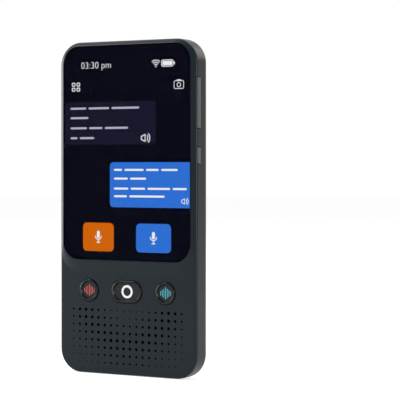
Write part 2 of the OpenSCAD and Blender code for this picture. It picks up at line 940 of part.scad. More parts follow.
module back_shell() color([0.2, 0.25, 0.28]) {
    seam = front_edge_r + seam_gap;
    difference() {
        union() {
            edged_body(back_profile(0, seam));
            turned(0, camera_z) bump_section();
        }
        edged_body(back_profile(shell_t, seam - cut));
        // opening behind the camera window, and the seat of window and trim ring
        pin_y(0, camera_z, bump_bore_r, body_t - 2 * shell_t, body_t + bump_h + 1);
        pin_y(0, camera_z, trim_d / 2 + 0.03, window_seat, body_t + bump_h + 1);
        jack_notch();
        key_pockets(body_w / 2 - shell_t - cut, body_w / 2 + 1, 0, key_d + key_w + 0.2);
        // charging port and microphone holes
        translate([0, 0, -cut])
            linear_extrude(shell_t + 2 * cut)
                translate([0, panel_y + usb_d])
                    flat_stadium(0, 0, usb_size[0] + 2 * usb_gap, usb_size[1] + 2 * usb_gap);
        for (mic = [[mic_x, -cut], [top_mic_x, body_h - shell_t - cut]])
            translate([mic[0], panel_y + mic_d, mic[1]])
                cylinder(r = mic_hole_r, h = shell_t + 2 * cut, $fn = 24);
    }
}

// ---------------------------------------------------------------- connectors

module usb_c_shell() color([0.7, 0.71, 0.73]) {
    translate([0, panel_y + usb_d, usb_z])
        difference() {
            linear_extrude(usb_size[2])
                flat_stadium(0, 0, usb_size[0], usb_size[1]);
            translate([0, 0, -cut])
                linear_extrude(usb_size[2] - usb_back_wall + cut)
                    flat_stadium(0, 0, usb_size[0] - 2 * usb_wall, usb_size[1] - 2 * usb_wall);
        }
}

module usb_c_tongue() color([0.08, 0.08, 0.09]) {
    centred_block(0, usb_d - tongue_size[1] / 2, usb_z + tongue_sunk,
        [tongue_size[0], tongue_size[1], usb_size[2] - usb_back_wall - tongue_sunk]);
}

module headphone_jack() color([0.09, 0.09, 0.1]) {
    plate_start = front_edge_r + seam_gap + 0.08;
    difference() {
        union() {
            centred_block(jack_x, jack_d - jack_body[1] / 2, jack_top - jack_plate_t - jack_body[2] + 0.2,
                jack_body);
            // nose plate that fills the notch's floor
            centred_block(jack_x, plate_start, jack_top - jack_plate_t,
                [notch_w - 0.4, jack_plate_end - plate_start, jack_plate_t]);
        }
        translate([jack_x, panel_y + jack_d, jack_top - jack_bore_len])
            cylinder(r = jack_bore_r, h = jack_bore_len + cut);
    }
}

module microphones() color([0.8, 0.8, 0.78]) {
    centred_block(mic_x, io_board_d - mic_t, io_board_z + 0.1, [3, mic_t, 3.8]);
    centred_block(top_mic_x, main_board_d + board_t, 132.1, [3.8, mic_t, 3]);
}

front_housing();
back_shell();
mid_frame();
chassis_screws();
screen_glass();
glass_adhesive();
display_panel();
display_flex();
left_button();
home_button();
right_button();
left_wave_inlay();
home_ring_inlay();
right_wave_inlay();
left_switch_plunger();
home_switch_plunger();
right_switch_plunger();
front_switches();
button_board();
volume_rocker();
power_key();
volume_switch_plungers();
power_switch_plunger();
side_switches();
side_key_board();
main_board();
shield_cans();
io_board();
board_link_flex();
wifi_antenna();
battery();
battery_tape();
battery_lead();
battery_socket();
loudspeaker();
speaker_gasket();
speaker_mesh();
camera_module();
camera_lens();
camera_gasket();
camera_window();
camera_trim_ring();
usb_c_shell();
usb_c_tongue();
headphone_jack();
microphones();
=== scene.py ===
"""Scene of a handheld translator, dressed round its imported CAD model.

Sizes are in millimetres in the text and in metres in the meshes. Depth is
measured from the lower front panel towards the back of the body.
"""

from __future__ import annotations

import json
import logging
import math
from dataclasses import dataclass, field, replace
from enum import Enum
from typing import Any, Iterable, Optional, Sequence

import bmesh
import bpy
from bmesh.types import BMEdge, BMFace, BMVert
from mathutils import Matrix, Vector

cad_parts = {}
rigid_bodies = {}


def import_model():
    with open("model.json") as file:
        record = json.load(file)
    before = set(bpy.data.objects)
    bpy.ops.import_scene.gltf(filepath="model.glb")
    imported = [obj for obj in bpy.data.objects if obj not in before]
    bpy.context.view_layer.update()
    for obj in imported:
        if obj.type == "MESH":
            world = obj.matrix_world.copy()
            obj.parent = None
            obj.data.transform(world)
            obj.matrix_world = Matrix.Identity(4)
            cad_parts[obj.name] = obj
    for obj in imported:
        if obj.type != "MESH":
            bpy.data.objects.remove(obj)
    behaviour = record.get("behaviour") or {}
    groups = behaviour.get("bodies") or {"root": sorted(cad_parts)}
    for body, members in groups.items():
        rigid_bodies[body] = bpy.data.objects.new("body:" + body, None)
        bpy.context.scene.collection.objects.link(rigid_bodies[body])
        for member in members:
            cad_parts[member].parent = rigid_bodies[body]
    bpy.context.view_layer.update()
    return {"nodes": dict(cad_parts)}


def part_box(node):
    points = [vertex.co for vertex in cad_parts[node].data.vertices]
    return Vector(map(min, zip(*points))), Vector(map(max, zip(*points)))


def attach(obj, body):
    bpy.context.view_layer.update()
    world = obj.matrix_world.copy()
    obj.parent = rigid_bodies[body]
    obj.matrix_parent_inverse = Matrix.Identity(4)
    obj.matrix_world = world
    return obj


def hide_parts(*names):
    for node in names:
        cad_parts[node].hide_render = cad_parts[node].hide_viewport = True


LOG = logging.getLogger("translator")
MM = 0.001
PANEL_Y = -6.825
BODY_WIDTH = 67.5
BODY_HEIGHT = 140.0
BODY_THICKNESS = 12.4
CORNER_RADIUS = 10.0
CAMERA_Z = 112.0
CAMERA_SEAT = 13.5
TRIM_DIAMETER = 18.5
BUTTON_Z = 35.0
BUTTON_PITCH = 18.9
CAP_DIAMETER = 9.3
HOME_WIDTH = 14.8
SIDE_KEYS = (("volume", 113.45, 20.7), ("power", 91.8, 6.6))
KEY_GAP = 0.25
SLOT_END_X = 34.75
ROUND_END = 0.4999
PATCH_SCALE = 60.0
PATCH_SHARE = 0.4
GLOSS_SPREAD = 0.1
# Depths between which the painted shade of the sides fades into the back's colour.
FADE_START = 8.0
FADE_END = 12.0
HANDSET = "handset"

Colour = tuple[float, float, float]


def y_at(depth: float) -> float:
    """Returns the Y place in metres of a depth in millimetres."""
    return (PANEL_Y + depth) * MM


def point(x: float, depth: float, z: float) -> Vector:
    """Returns the place in metres of a point in millimetres."""
    return Vector((x * MM, y_at(depth), z * MM))


def linear(red: int, green: int, blue: int) -> Colour:
    """Turns a screen colour of 0 to 255 into a linear one.

    Args:
        red: Red, from 0 to 255.
        green: Green, from 0 to 255.
        blue: Blue, from 0 to 255.

    Returns:
        The colour as three linear values from 0 to 1.
    """

    def channel(value: int) -> float:
        """Returns one channel as a linear value."""
        share = value / 255
        return share / 12.92 if share <= 0.04045 else ((share + 0.055) / 1.055) ** 2.4

    return channel(red), channel(green), channel(blue)


# ------------------------------------------------------------------ finishes


class Grain(Enum):
    """What the fine surface of a material looks like."""

    MOULDED = "moulded"
    BRUSHED = "brushed"
    WOVEN = "woven"
    POLISHED = "polished"
    PIXELS = "pixels"


def add(
    tree: bpy.types.NodeTree, kind: str, values: Optional[dict[Any, Any]] = None,
    **settings: Any,
) -> bpy.types.Node:
    """Adds a shader node.

    Args:
        tree: The node tree.
        kind: The node's type, without its prefix.
        values: For inputs by name or number, a value or a socket to link.
        **settings: The node's own settings.

    Returns:
        The node.
    """
    made = tree.nodes.new(f"ShaderNode{kind}")
    for name, value in settings.items():
        setattr(made, name, value)
    for key, value in (values or {}).items():
        if isinstance(value, bpy.types.NodeSocket):
            tree.links.new(value, made.inputs[key])
        else:
            made.inputs[key].default_value = value
    return made


@dataclass(frozen=True)
class Finish:
    """One material: its colour, gloss and fine surface, and where given a painted shade on the
    sides.
    """

    name: str
    colour: Colour
    roughness: float = 0.5
    metallic: float = 0.0
    specular: float = 0.5
    coat: float = 0.0
    transmission: float = 0.0
    ior: float = 1.5
    glow: float = 0.0
    grain: Grain = Grain.MOULDED
    grain_mm: float = 0.25
    mottle: float = 0.08
    relief_mm: float = 0.012
    # Painted shade: a darker colour for the sides, which stands in for how dimly they are lit.
    painted_side_shade: Optional[Colour] = None

    def material(self) -> bpy.types.Material:
        """Makes the material, or finds it if a piece already wears it.

        Returns:
            The material, with procedural colour, gloss and relief.
        """
        if self in MADE:
            return MADE[self]
        made = MADE[self] = bpy.data.materials.new(self.name)
        made.use_nodes = True
        tree = made.node_tree
        shader = tree.nodes["Principled BSDF"]
        for name, value in (
            ("Metallic", self.metallic), ("Specular IOR Level", self.specular),
            ("Coat Weight", self.coat), ("Coat Roughness", 0.12),
            ("Transmission Weight", self.transmission), ("IOR", self.ior),
        ):
            shader.inputs[name].default_value = value
        grain = self._grain(tree)
        self._paint(tree, shader, grain)
        if self.relief_mm > 0:
            relief = {"Height": grain, "Distance": self.relief_mm * MM, "Strength": 0.5}
            bump = add(tree, "Bump", relief)
            tree.links.new(bump.outputs["Normal"], shader.inputs["Normal"])
        return made

    def _grain(self, tree: bpy.types.NodeTree) -> bpy.types.NodeSocket:
        """Adds the pattern of the fine surface.

        Args:
            tree: The material's node tree.

        Returns:
            The socket that holds the pattern, from 0 to 1.
        """
        size = 1 / (self.grain_mm * MM)
        stretch = (0.05, 0.05, 1.0) if self.grain is Grain.BRUSHED else (1.0, 1.0, 1.0)
        mapping = add(tree, "Mapping", {
            "Vector": add(tree, "TexCoord").outputs["Object"],
            "Scale": [size * share for share in stretch],
        })
        values = {"Vector": mapping.outputs["Vector"], "Scale": 1.0}
        if self.grain in (Grain.WOVEN, Grain.PIXELS):
            return add(tree, "TexChecker", values).outputs["Fac"]
        return add(tree, "TexNoise", {**values, "Detail": 3.0}).outputs["Fac"]

    def _paint(
        self, tree: bpy.types.NodeTree, shader: bpy.types.Node, grain: bpy.types.NodeSocket
    ) -> None:
        """Paints colour and roughness from the grain and from broad soft patches.

        Args:
            tree: The material's node tree.
            shader: Its shader.
            grain: The pattern of the fine surface.
        """
        place = add(tree, "TexCoord").outputs["Object"]
        patches = add(tree, "TexNoise", {"Vector": place, "Scale": PATCH_SCALE, "Detail": 2.0})
        shares = {0: patches.outputs["Fac"], 1: PATCH_SHARE}
        broad = add(tree, "Math", shares, operation="MULTIPLY")
        sums = {0: grain, 1: 1 - PATCH_SHARE, 2: broad.outputs[0]}
        blend = add(tree, "Math", sums, operation="MULTIPLY_ADD").outputs[0]
        ramp = add(tree, "ValToRGB", {"Fac": blend})
        stops = ((0.25, 1 - self.mottle), (0.75, 1 + self.mottle))
        for stop, (position, share) in zip(ramp.color_ramp.elements, stops):
            stop.position = position
            stop.color = (*(min(1.0, c * share) for c in self.colour), 1)
        colour = ramp.outputs["Color"]
        # Painted shade: the sides darken towards the front.
        if self.painted_side_shade:
            colour = self._paint_side_shade(tree, place, colour)
        if self.glow > 0:
            tree.links.new(colour, shader.inputs["Emission Color"])
            shader.inputs["Emission Strength"].default_value = self.glow
            shader.inputs["Base Color"].default_value = (0.001, 0.001, 0.001, 1)
        else:
            tree.links.new(colour, shader.inputs["Base Color"])
        if self.roughness == 0:
            shader.inputs["Roughness"].default_value = 0.0
            return
        spread = add(tree, "MapRange", {
            "Value": blend, "To Min": self.roughness * (1 - GLOSS_SPREAD),
            "To Max": min(1.0, self.roughness * (1 + GLOSS_SPREAD)),
        })
        tree.links.new(spread.outputs["Result"], shader.inputs["Roughness"])

    def _paint_side_shade(
        self,
        tree: bpy.types.NodeTree,
        place: bpy.types.NodeSocket,
        colour: bpy.types.NodeSocket,
    ) -> bpy.types.NodeSocket:
        """Paints shade on the sides: the colour of the back fades into a darker painted shade
        towards the front, along the depth.

        Args:
            tree: The material's node tree.
            place: The place on the piece.
            colour: The colour of the back.

        Returns:
            The socket that holds the faded colour.
        """
        depth = add(tree, "MapRange", {
            "Value": add(tree, "SeparateXYZ", {"Vector": place}).outputs["Y"],
            "From Min": y_at(FADE_START), "From Max": y_at(FADE_END),
        }, interpolation_type="SMOOTHSTEP")
        mix = add(tree, "Mix", {
            0: depth.outputs["Result"], 6: (*self.painted_side_shade, 1), 7: colour,
        }, data_type="RGBA")
        return mix.outputs[2]


MADE: dict[Finish, bpy.types.Material] = {}


def lit(name: str, colour: Colour, strength: float = 1.0) -> Finish:
    """Returns the finish of something that the display shows.

    Args:
        name: Name of the finish.
        colour: Its colour, linear.
        strength: How brightly it glows.

    Returns:
        A dark glossy finish that gives off the colour.
    """
    return Finish(
        name, colour, roughness=0.3, specular=0.0, glow=strength,
        grain=Grain.PIXELS, grain_mm=0.08, mottle=0.02, relief_mm=0.0,
    )


PANEL = Finish(
    "charcoal_plastic", (0.002, 0.008, 0.0115), 0.28, specular=0.18,
    grain_mm=0.35, relief_mm=0.006,
)
# The slate back is the plastic's own colour; the darker colour of the sides is painted shade,
# not a second plastic.
SHELL = Finish(
    "slate_plastic", (0.022, 0.033, 0.039), 0.32, specular=0.16, grain_mm=0.3, relief_mm=0.006,
    painted_side_shade=(0.009, 0.0095, 0.0095),
)
FRAME_PLASTIC = Finish("inner_black_plastic", (0.02, 0.02, 0.022), 0.6)
CAP = Finish("button_black", (0.003, 0.005, 0.006), 0.2, specular=0.22, relief_mm=0.003)
KEY = Finish("key_grey", (0.05, 0.052, 0.055), 0.34, specular=0.4, relief_mm=0.004)
GLASS = Finish(
    "cover_glass", (1.0, 1.0, 1.0), 0.0, transmission=1.0, ior=1.04,
    grain=Grain.POLISHED, mottle=0.0, relief_mm=0.0,
)
DISPLAY = lit("display_night_blue", linear(6, 7, 20), 0.9)
RED = Finish("red_inlay", linear(214, 82, 82), 0.4, relief_mm=0.003)
TEAL = Finish("teal_inlay", linear(84, 186, 206), 0.4, relief_mm=0.003)
WHITE = Finish("white_inlay", linear(240, 242, 243), 0.4, relief_mm=0.003, mottle=0.03)
PLUNGER = Finish("ivory_nylon", (0.7, 0.65, 0.55), 0.5)
SWITCH = Finish("switch_plastic", (0.03, 0.03, 0.035), 0.5)
BOARD = Finish("solder_mask", (0.01, 0.1, 0.05), 0.3, coat=0.4, grain_mm=1.2, mottle=0.25)
TIN = Finish("tin_plate", (0.6, 0.61, 0.62), 0.35, metallic=1.0, grain=Grain.BRUSHED)
STEEL = Finish("plated_steel", (0.5, 0.5, 0.52), 0.3, metallic=1.0, grain=Grain.BRUSHED)
FOIL = Finish("pouch_foil", (0.55, 0.56, 0.58), 0.4, metallic=0.8, grain_mm=2.0, relief_mm=0.05)
TAPE = Finish("black_tape", (0.03, 0.03, 0.03), 0.7)
FLEX = Finish("amber_film", (0.45, 0.2, 0.03), 0.3, coat=0.5, grain_mm=0.8, mottle=0.2)
FOAM = Finish("cell_foam", (0.03, 0.03, 0.03), 0.95, grain_mm=0.5, relief_mm=0.08, mottle=0.3)
MESH = Finish(
    "acoustic_mesh", (0.004, 0.004, 0.004), 0.9, specular=0.1, grain=Grain.WOVEN, grain_mm=0.12,
)
PRINT = Finish("black_print", (0.001, 0.001, 0.0015), 0.8, specular=0.0, relief_mm=0.0)
# Painted shade: a gloss-free black for the walls of the grille's holes, so they read dark.
BORE_SHADE = Finish("painted_bore_shade", (0.002, 0.002, 0.0025), 0.9, specular=0.0, relief_mm=0.0)
CAMERA_BLACK = Finish("camera_black", (0.01, 0.01, 0.012), 0.5)
WINDOW = Finish(
    "window_glass", (0.004, 0.004, 0.006), 0.06, specular=0.35,
    grain=Grain.POLISHED, relief_mm=0.0, mottle=0.05,
)
LENS = Finish(
    "lens_coating", (0.008, 0.016, 0.13), 0.05, specular=0.8, coat=0.6,
    grain=Grain.POLISHED, relief_mm=0.0, mottle=0.2,
)
# Painted reflections: lilac and blue crescents on the lens that stand in for lights reflected
# in its coating.
GLINT_LILAC = replace(LENS, name="painted_glint_lilac", colour=(0.34, 0.3, 0.62))
GLINT_BLUE = replace(LENS, name="painted_glint_blue", colour=(0.14, 0.4, 0.75))
TRIM = Finish(
    "turned_trim", (0.55, 0.57, 0.6), 0.28, metallic=1.0, grain=Grain.BRUSHED, relief_mm=0.003,
)
JACK = Finish("jack_plastic", (0.015, 0.015, 0.017), 0.5)


# -------------------------------------------------------------- mesh making


@dataclass(frozen=True)
class Outline:
    """A rounded rectangle seen from the front."""

    width: float
    bottom: float
    top: float
    low_radius: float
    high_radius: float
    centre_x: float = 0.0

    @classmethod
    def centred(
        cls, x: float, z: float, width: float, height: float, radius: float
    ) -> Outline:
        """Returns an outline by its middle, size and one corner radius."""
        return cls(width, z - height / 2, z + height / 2, radius, radius, x)

    def drawn_in(self, inset: float) -> Outline:
        """Draws the outline in on every side.

        Args:
            inset: By how much, in millimetres.

        Returns:
            The smaller outline.
        """
        return replace(
            self,
            width=self.width - 2 * inset,
            bottom=self.bottom + inset,
            top=self.top - inset,
            low_radius=max(0.02, self.low_radius - inset),
            high_radius=max(0.02, self.high_radius - inset),
        )


BODY = Outline(BODY_WIDTH, 0.0, BODY_HEIGHT, CORNER_RADIUS, CORNER_RADIUS)
GLASS_OUTLINE = Outline(62.9, 48.0, 138.2, 7.8, 7.8)


class Sculpt:
    """A mesh in the making, shaped with mesh operators."""

    def __init__(self) -> None:
        """Starts with an empty mesh."""
        self.bm = bmesh.new()

    def move(self, verts: Any, x: float = 0.0, depth: float = 0.0, z: float = 0.0) -> None:
        """Moves corners by millimetres."""
        bmesh.ops.translate(self.bm, vec=(x * MM, depth * MM, z * MM), verts=verts)

    def turn(
        self, verts: Any, degrees: float, axis: str, centre: Sequence[float] = (0, 0, 0)
    ) -> None:
        """Turns corners about a centre, which is given in metres."""
        matrix = Matrix.Rotation(math.radians(degrees), 3, axis)
        bmesh.ops.rotate(self.bm, cent=centre, matrix=matrix, verts=verts)

    def outline(self, shape: Outline, depth: float, steps: int = 14) -> BMFace:
        """Adds a flat rounded rectangle that faces the front.

        Args:
            shape: The outline.
            depth: Its depth in millimetres.
            steps: Segments in each rounded corner.

        Returns:
            The new face.
        """
        height = shape.top - shape.bottom
        made = bmesh.ops.create_grid(self.bm, x_segments=1, y_segments=1, size=0.5)["verts"]
        bmesh.ops.scale(self.bm, vec=(shape.width * MM, height * MM, 1), verts=made)
        self.turn(made, 90, "X")
        middle = point(shape.centre_x, depth, shape.bottom + height / 2)
        bmesh.ops.translate(self.bm, vec=middle, verts=made)
        face = made[0].link_faces[0]
        low = [v for v in made if v.co.z < middle.z]
        high = [v for v in made if v.co.z > middle.z]
        for corners, radius in ((low, shape.low_radius), (high, shape.high_radius)):
            rounded = bmesh.ops.bevel(
                self.bm, geom=corners, offset=radius * MM, offset_type="OFFSET",
                segments=steps, profile=0.5, affect="VERTICES", material=-1,
            )
            face = rounded["verts"][0].link_faces[0]
        return face

    def inset(self, face: BMFace, width: float) -> None:
        """Draws a face in and leaves a rim round it.

        Args:
            face: The face.
            width: Width of the rim in millimetres.
        """
        bmesh.ops.inset_region(
            self.bm, faces=[face], thickness=width * MM, depth=0.0,
            use_even_offset=True, use_boundary=True,
        )

    def pull(self, face: BMFace, by: float) -> BMFace:
        """Draws a face out along the depth and leaves a wall behind it.

        Args:
            face: The face to draw out.
            by: How far, in millimetres towards the back.

        Returns:
            The face at its new place.
        """
        drawn = bmesh.ops.extrude_discrete_faces(self.bm, faces=[face])["faces"][0]
        self.move(drawn.verts[:], depth=by)
        return drawn

    def follow(self, face: BMFace, profile: Sequence[tuple[float, float]]) -> BMFace:
        """Grows a surface from a face, ring by ring, along an edge profile.

        Args:
            face: The flat face to start from, at the profile's first point.
            profile: Points of (inset, depth) in millimetres.

        Returns:
            The face that closes the surface.
        """
        for (inset, depth), (next_inset, next_depth) in zip(profile, profile[1:]):
            step = next_inset - inset
            if abs(step) < 1e-6:
                face = self.pull(face, next_depth - depth)
                continue
            self.inset(face, abs(step))
            self.move(face.verts[:], depth=next_depth - depth)
        return face

    def loft(self, levels: Sequence[tuple[Outline, float]], steps: int = 14) -> None:
        """Adds a closed body whose outline goes through several levels.

        Args:
            levels: The outlines and their depths, from one end to the other.
            steps: Segments in each rounded corner.
        """
        last: list[BMEdge] = []
        for i, (shape, depth) in enumerate(levels):
            face = self.outline(shape, depth, steps)
            rim = face.edges[:]
            if last:
                bmesh.ops.bridge_loops(self.bm, edges=last + rim)
            if 0 < i < len(levels) - 1:
                bmesh.ops.delete(self.bm, geom=[face], context="FACES_ONLY")
            last = rim
        self.close()

    def slab(self, shape: Outline, front: float, back: float, steps: int = 14) -> None:
        """Adds a closed slab with an outline, from one depth to another."""
        self.pull(self.outline(shape, front, steps), back - front)
        self.close()

    def block(self, low: Sequence[float], high: Sequence[float]) -> None:
        """Adds a box between two corners.

        Args:
            low: Its lowest corner as (x, depth, z).
            high: Its highest corner.
        """
        made = bmesh.ops.create_cube(self.bm, size=1.0)["verts"]
        size = [(b - a) * MM for a, b in zip(low, high)]
        bmesh.ops.scale(self.bm, vec=size, verts=made)
        middle = point(*((a + b) / 2 for a, b in zip(low, high)))
        bmesh.ops.translate(self.bm, vec=middle, verts=made)

    def bar(
        self, place: tuple[float, float, float], radius: float, length: float,
        axis: str = "Y", sides: int = 32,
    ) -> None:
        """Adds a round bar.

        Args:
            place: Its middle as (x, depth, z).
            radius: Its radius.
            length: Its length.
            axis: The axis that it lies along, Y or Z.
            sides: How many sides stand for the round.
        """
        made = bmesh.ops.create_cone(
            self.bm, cap_ends=True, segments=sides, radius1=radius * MM,
            radius2=radius * MM, depth=length * MM,
        )["verts"]
        if axis == "Y":
            self.turn(made, 90, "X")
        bmesh.ops.translate(self.bm, vec=point(*place), verts=made)

    def section(self, points: Iterable[tuple[float, float, float]]) -> list[Any]:
        """Adds a chain of edges through points of (x, depth, z), and returns it."""
        verts = [self.bm.verts.new(point(*place)) for place in points]
        return verts + [self.bm.edges.new(pair) for pair in zip(verts, verts[1:])]

    def turned(
        self, x: float, z: float, profile: Sequence[tuple[float, float]],
        steps: int = 72, start: float = 0.0, sweep: float = 360.0,
    ) -> None:
        """Spins a profile of (radius, depth) points about an axis along the depth.

        Args:
            x: Place of the axis.
            z: Height of the axis.
            profile: Points from one end of the section to the other.
            steps: How many steps make the turn.
            start: Angle that the turn starts from, in degrees.
            sweep: Angle of the turn in degrees.
        """
        chain = self.section((x + r, d, z) for r, d in profile)
        centre = (x * MM, 0, z * MM)
        self.turn([v for v in chain if isinstance(v, BMVert)], start, "Y", centre)
        bmesh.ops.spin(
            self.bm, geom=chain, cent=centre, axis=(0, 1, 0), dvec=(0, 0, 0),
            angle=math.radians(sweep), steps=steps, use_merge=sweep >= 360,
        )
        bmesh.ops.remove_doubles(self.bm, verts=self.bm.verts[:], dist=1e-7)

    def racetrack(
        self, x: float, z: float, straight: float, profile: Sequence[tuple[float, float]],
        steps: int = 36,
    ) -> None:
        """Sweeps a profile round a racetrack shape: two half turns and two straights.

        Args:
            x: Place of the shape's middle.
            z: Its height.
            straight: Length of the straights; 0 makes it round.
            profile: Points of (radius, depth), from one end of the section to the other.
            steps: Segments in each half turn.
        """
        at = x - straight / 2
        ends = self.section((at, d, z + r) for r, d in profile)
        for _ in range(2):
            ends = bmesh.ops.spin(
                self.bm, geom=ends, cent=(at * MM, 0, z * MM), axis=(0, -1, 0),
                dvec=(0, 0, 0), angle=math.pi, steps=steps, use_merge=False,
            )["geom_last"]
            if straight > 0:
                edges = [e for e in ends if isinstance(e, BMEdge)]
                ends = bmesh.ops.extrude_edge_only(self.bm, edges=edges)["geom"]
                moved = [v for v in ends if isinstance(v, BMVert)]
                self.move(moved, x=(x - at) * 2)
                drawn = [e for e in ends if isinstance(e, BMEdge)]
                ends = moved + [e for e in drawn if all(v in moved for v in e.verts)]
            at = 2 * x - at
        bmesh.ops.remove_doubles(self.bm, verts=self.bm.verts[:], dist=1e-7)

    def close(self) -> None:
        """Closes every open rim and turns the faces outwards."""
        rims = [e for e in self.bm.edges if e.is_boundary]
        if rims:
            bmesh.ops.holes_fill(self.bm, edges=rims, sides=0)
        bmesh.ops.recalc_face_normals(self.bm, faces=self.bm.faces[:])

    def mesh(self, name: str) -> bpy.types.Mesh:
        """Turns what was shaped into a mesh and lets go of the draft.

        Args:
            name: Name of the mesh.

        Returns:
            The mesh.
        """
        self.close()
        made = bpy.data.meshes.new(name)
        self.bm.to_mesh(made)
        self.bm.free()
        return made


def stand(name: str, data: Any) -> bpy.types.Object:
    """Puts a mesh, light, camera or text in the scene.

    Args:
        name: Name of the object.
        data: What it shows.

    Returns:
        The object.
    """
    made = bpy.data.objects.new(name, data)
    bpy.context.scene.collection.objects.link(made)
    return made


class Piece:
    """A visible piece: its object, what it is cut from and what it rides on."""

    def __init__(self, name: str, draft: Sculpt) -> None:
        """Makes the piece's object from a draft."""
        self.object = stand(name, draft.mesh(name))

    def _apply(self) -> None:
        """Makes the object's modifiers part of its mesh."""
        graph = bpy.context.evaluated_depsgraph_get()
        shaped = bpy.data.meshes.new_from_object(self.object.evaluated_get(graph))
        draft = bmesh.new()
        draft.from_mesh(shaped)
        bmesh.ops.remove_doubles(draft, verts=draft.verts[:], dist=0.001 * MM)
        draft.to_mesh(shaped)
        draft.free()
        old = self.object.data
        self.object.modifiers.clear()
        self.object.data = shaped
        shaped.name = self.object.name
        bpy.data.meshes.remove(old)

    def _combine(self, draft: Sculpt, operation: str) -> Piece:
        """Joins or cuts with a draft.

        Args:
            draft: The shape to join or cut with.
            operation: UNION or DIFFERENCE.

        Returns:
            The piece.
        """
        tool = stand("tool", draft.mesh("tool"))
        step = self.object.modifiers.new("combine", "BOOLEAN")
        step.operation = operation
        step.solver = "EXACT"
        step.object = tool
        self._apply()
        spare = tool.data
        bpy.data.objects.remove(tool)
        bpy.data.meshes.remove(spare)
        return self

    def cut(self, draft: Sculpt) -> Piece:
        """Cuts a draft's shape out of the piece."""
        return self._combine(draft, "DIFFERENCE")

    def join(self, draft: Sculpt) -> Piece:
        """Joins a draft's shape to the piece."""
        return self._combine(draft, "UNION")

    def ease(self, width: float, angle: float = 40.0, steps: int = 2) -> Piece:
        """Rounds the piece's crisp edges.

        Args:
            width: Width of the rounding in millimetres.
            angle: Least angle of an edge that is rounded, in degrees.
            steps: Segments across the rounding.

        Returns:
            The piece.
        """
        bevel = self.object.modifiers.new("ease", "BEVEL")
        bevel.width = width * MM
        bevel.segments = steps
        bevel.limit_method = "ANGLE"
        bevel.angle_limit = math.radians(angle)
        self._apply()
        return self

    def dress(
        self,
        finish: Finish,
        slot: str,
        body: str = HANDSET,
        stands_for: Iterable[str] = (),
        smooth: float = 35.0,
    ) -> Piece:
        """Gives the piece its finish and says what it is part of.

        Args:
            finish: The finish that it wears.
            slot: The record's material slot; not used.
            body: The body that it rides on.
            stands_for: The CAD nodes that it replaces.
            smooth: Greatest angle in degrees that is shaded as a curve.

        Returns:
            The piece.
        """
        mesh = self.object.data
        mesh.materials.clear()
        mesh.materials.append(finish.material())
        mesh.shade_smooth()
        mesh.set_sharp_from_angle(angle=math.radians(smooth))
        even = self.object.modifiers.new("even_shading", "WEIGHTED_NORMAL")
        even.keep_sharp = True
        even.weight = 90
        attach(self.object, body)
        nodes = tuple(stands_for)
        if nodes:
            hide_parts(*nodes)
        LOG.info("%s rides on %s, %d faces", self.object.name, body, len(mesh.polygons))
        return self


def edge_arc(radius: float, start: float, steps: int = 6) -> list[tuple[float, float]]:
    """Returns a rounded edge as (inset, depth) points, from the side to the face.

    Args:
        radius: Radius of the rounding.
        start: Depth of the face.
        steps: Segments in the rounding.

    Returns:
        Points that run from the full outline to the face.
    """
    turn = [math.pi / 2 * (1 - i / steps) for i in range(steps + 1)]
    return [(radius * (1 - math.sin(a)), start + radius * (1 - math.cos(a))) for a in turn]


def key_slots(draft: Sculpt, inner_x: float, front: float, back: float) -> None:
    """Adds the slots of both side keys to a draft.

    Args:
        draft: The draft.
        inner_x: How far from the middle they start.
        front: Depth of their front.
        back: Depth of their back.
    """
    for _, z, length in SIDE_KEYS:
        half = length / 2 + KEY_GAP
        draft.block((inner_x, front, z - half), (SLOT_END_X, back, z + half))


# ------------------------------------------------------------------- housing


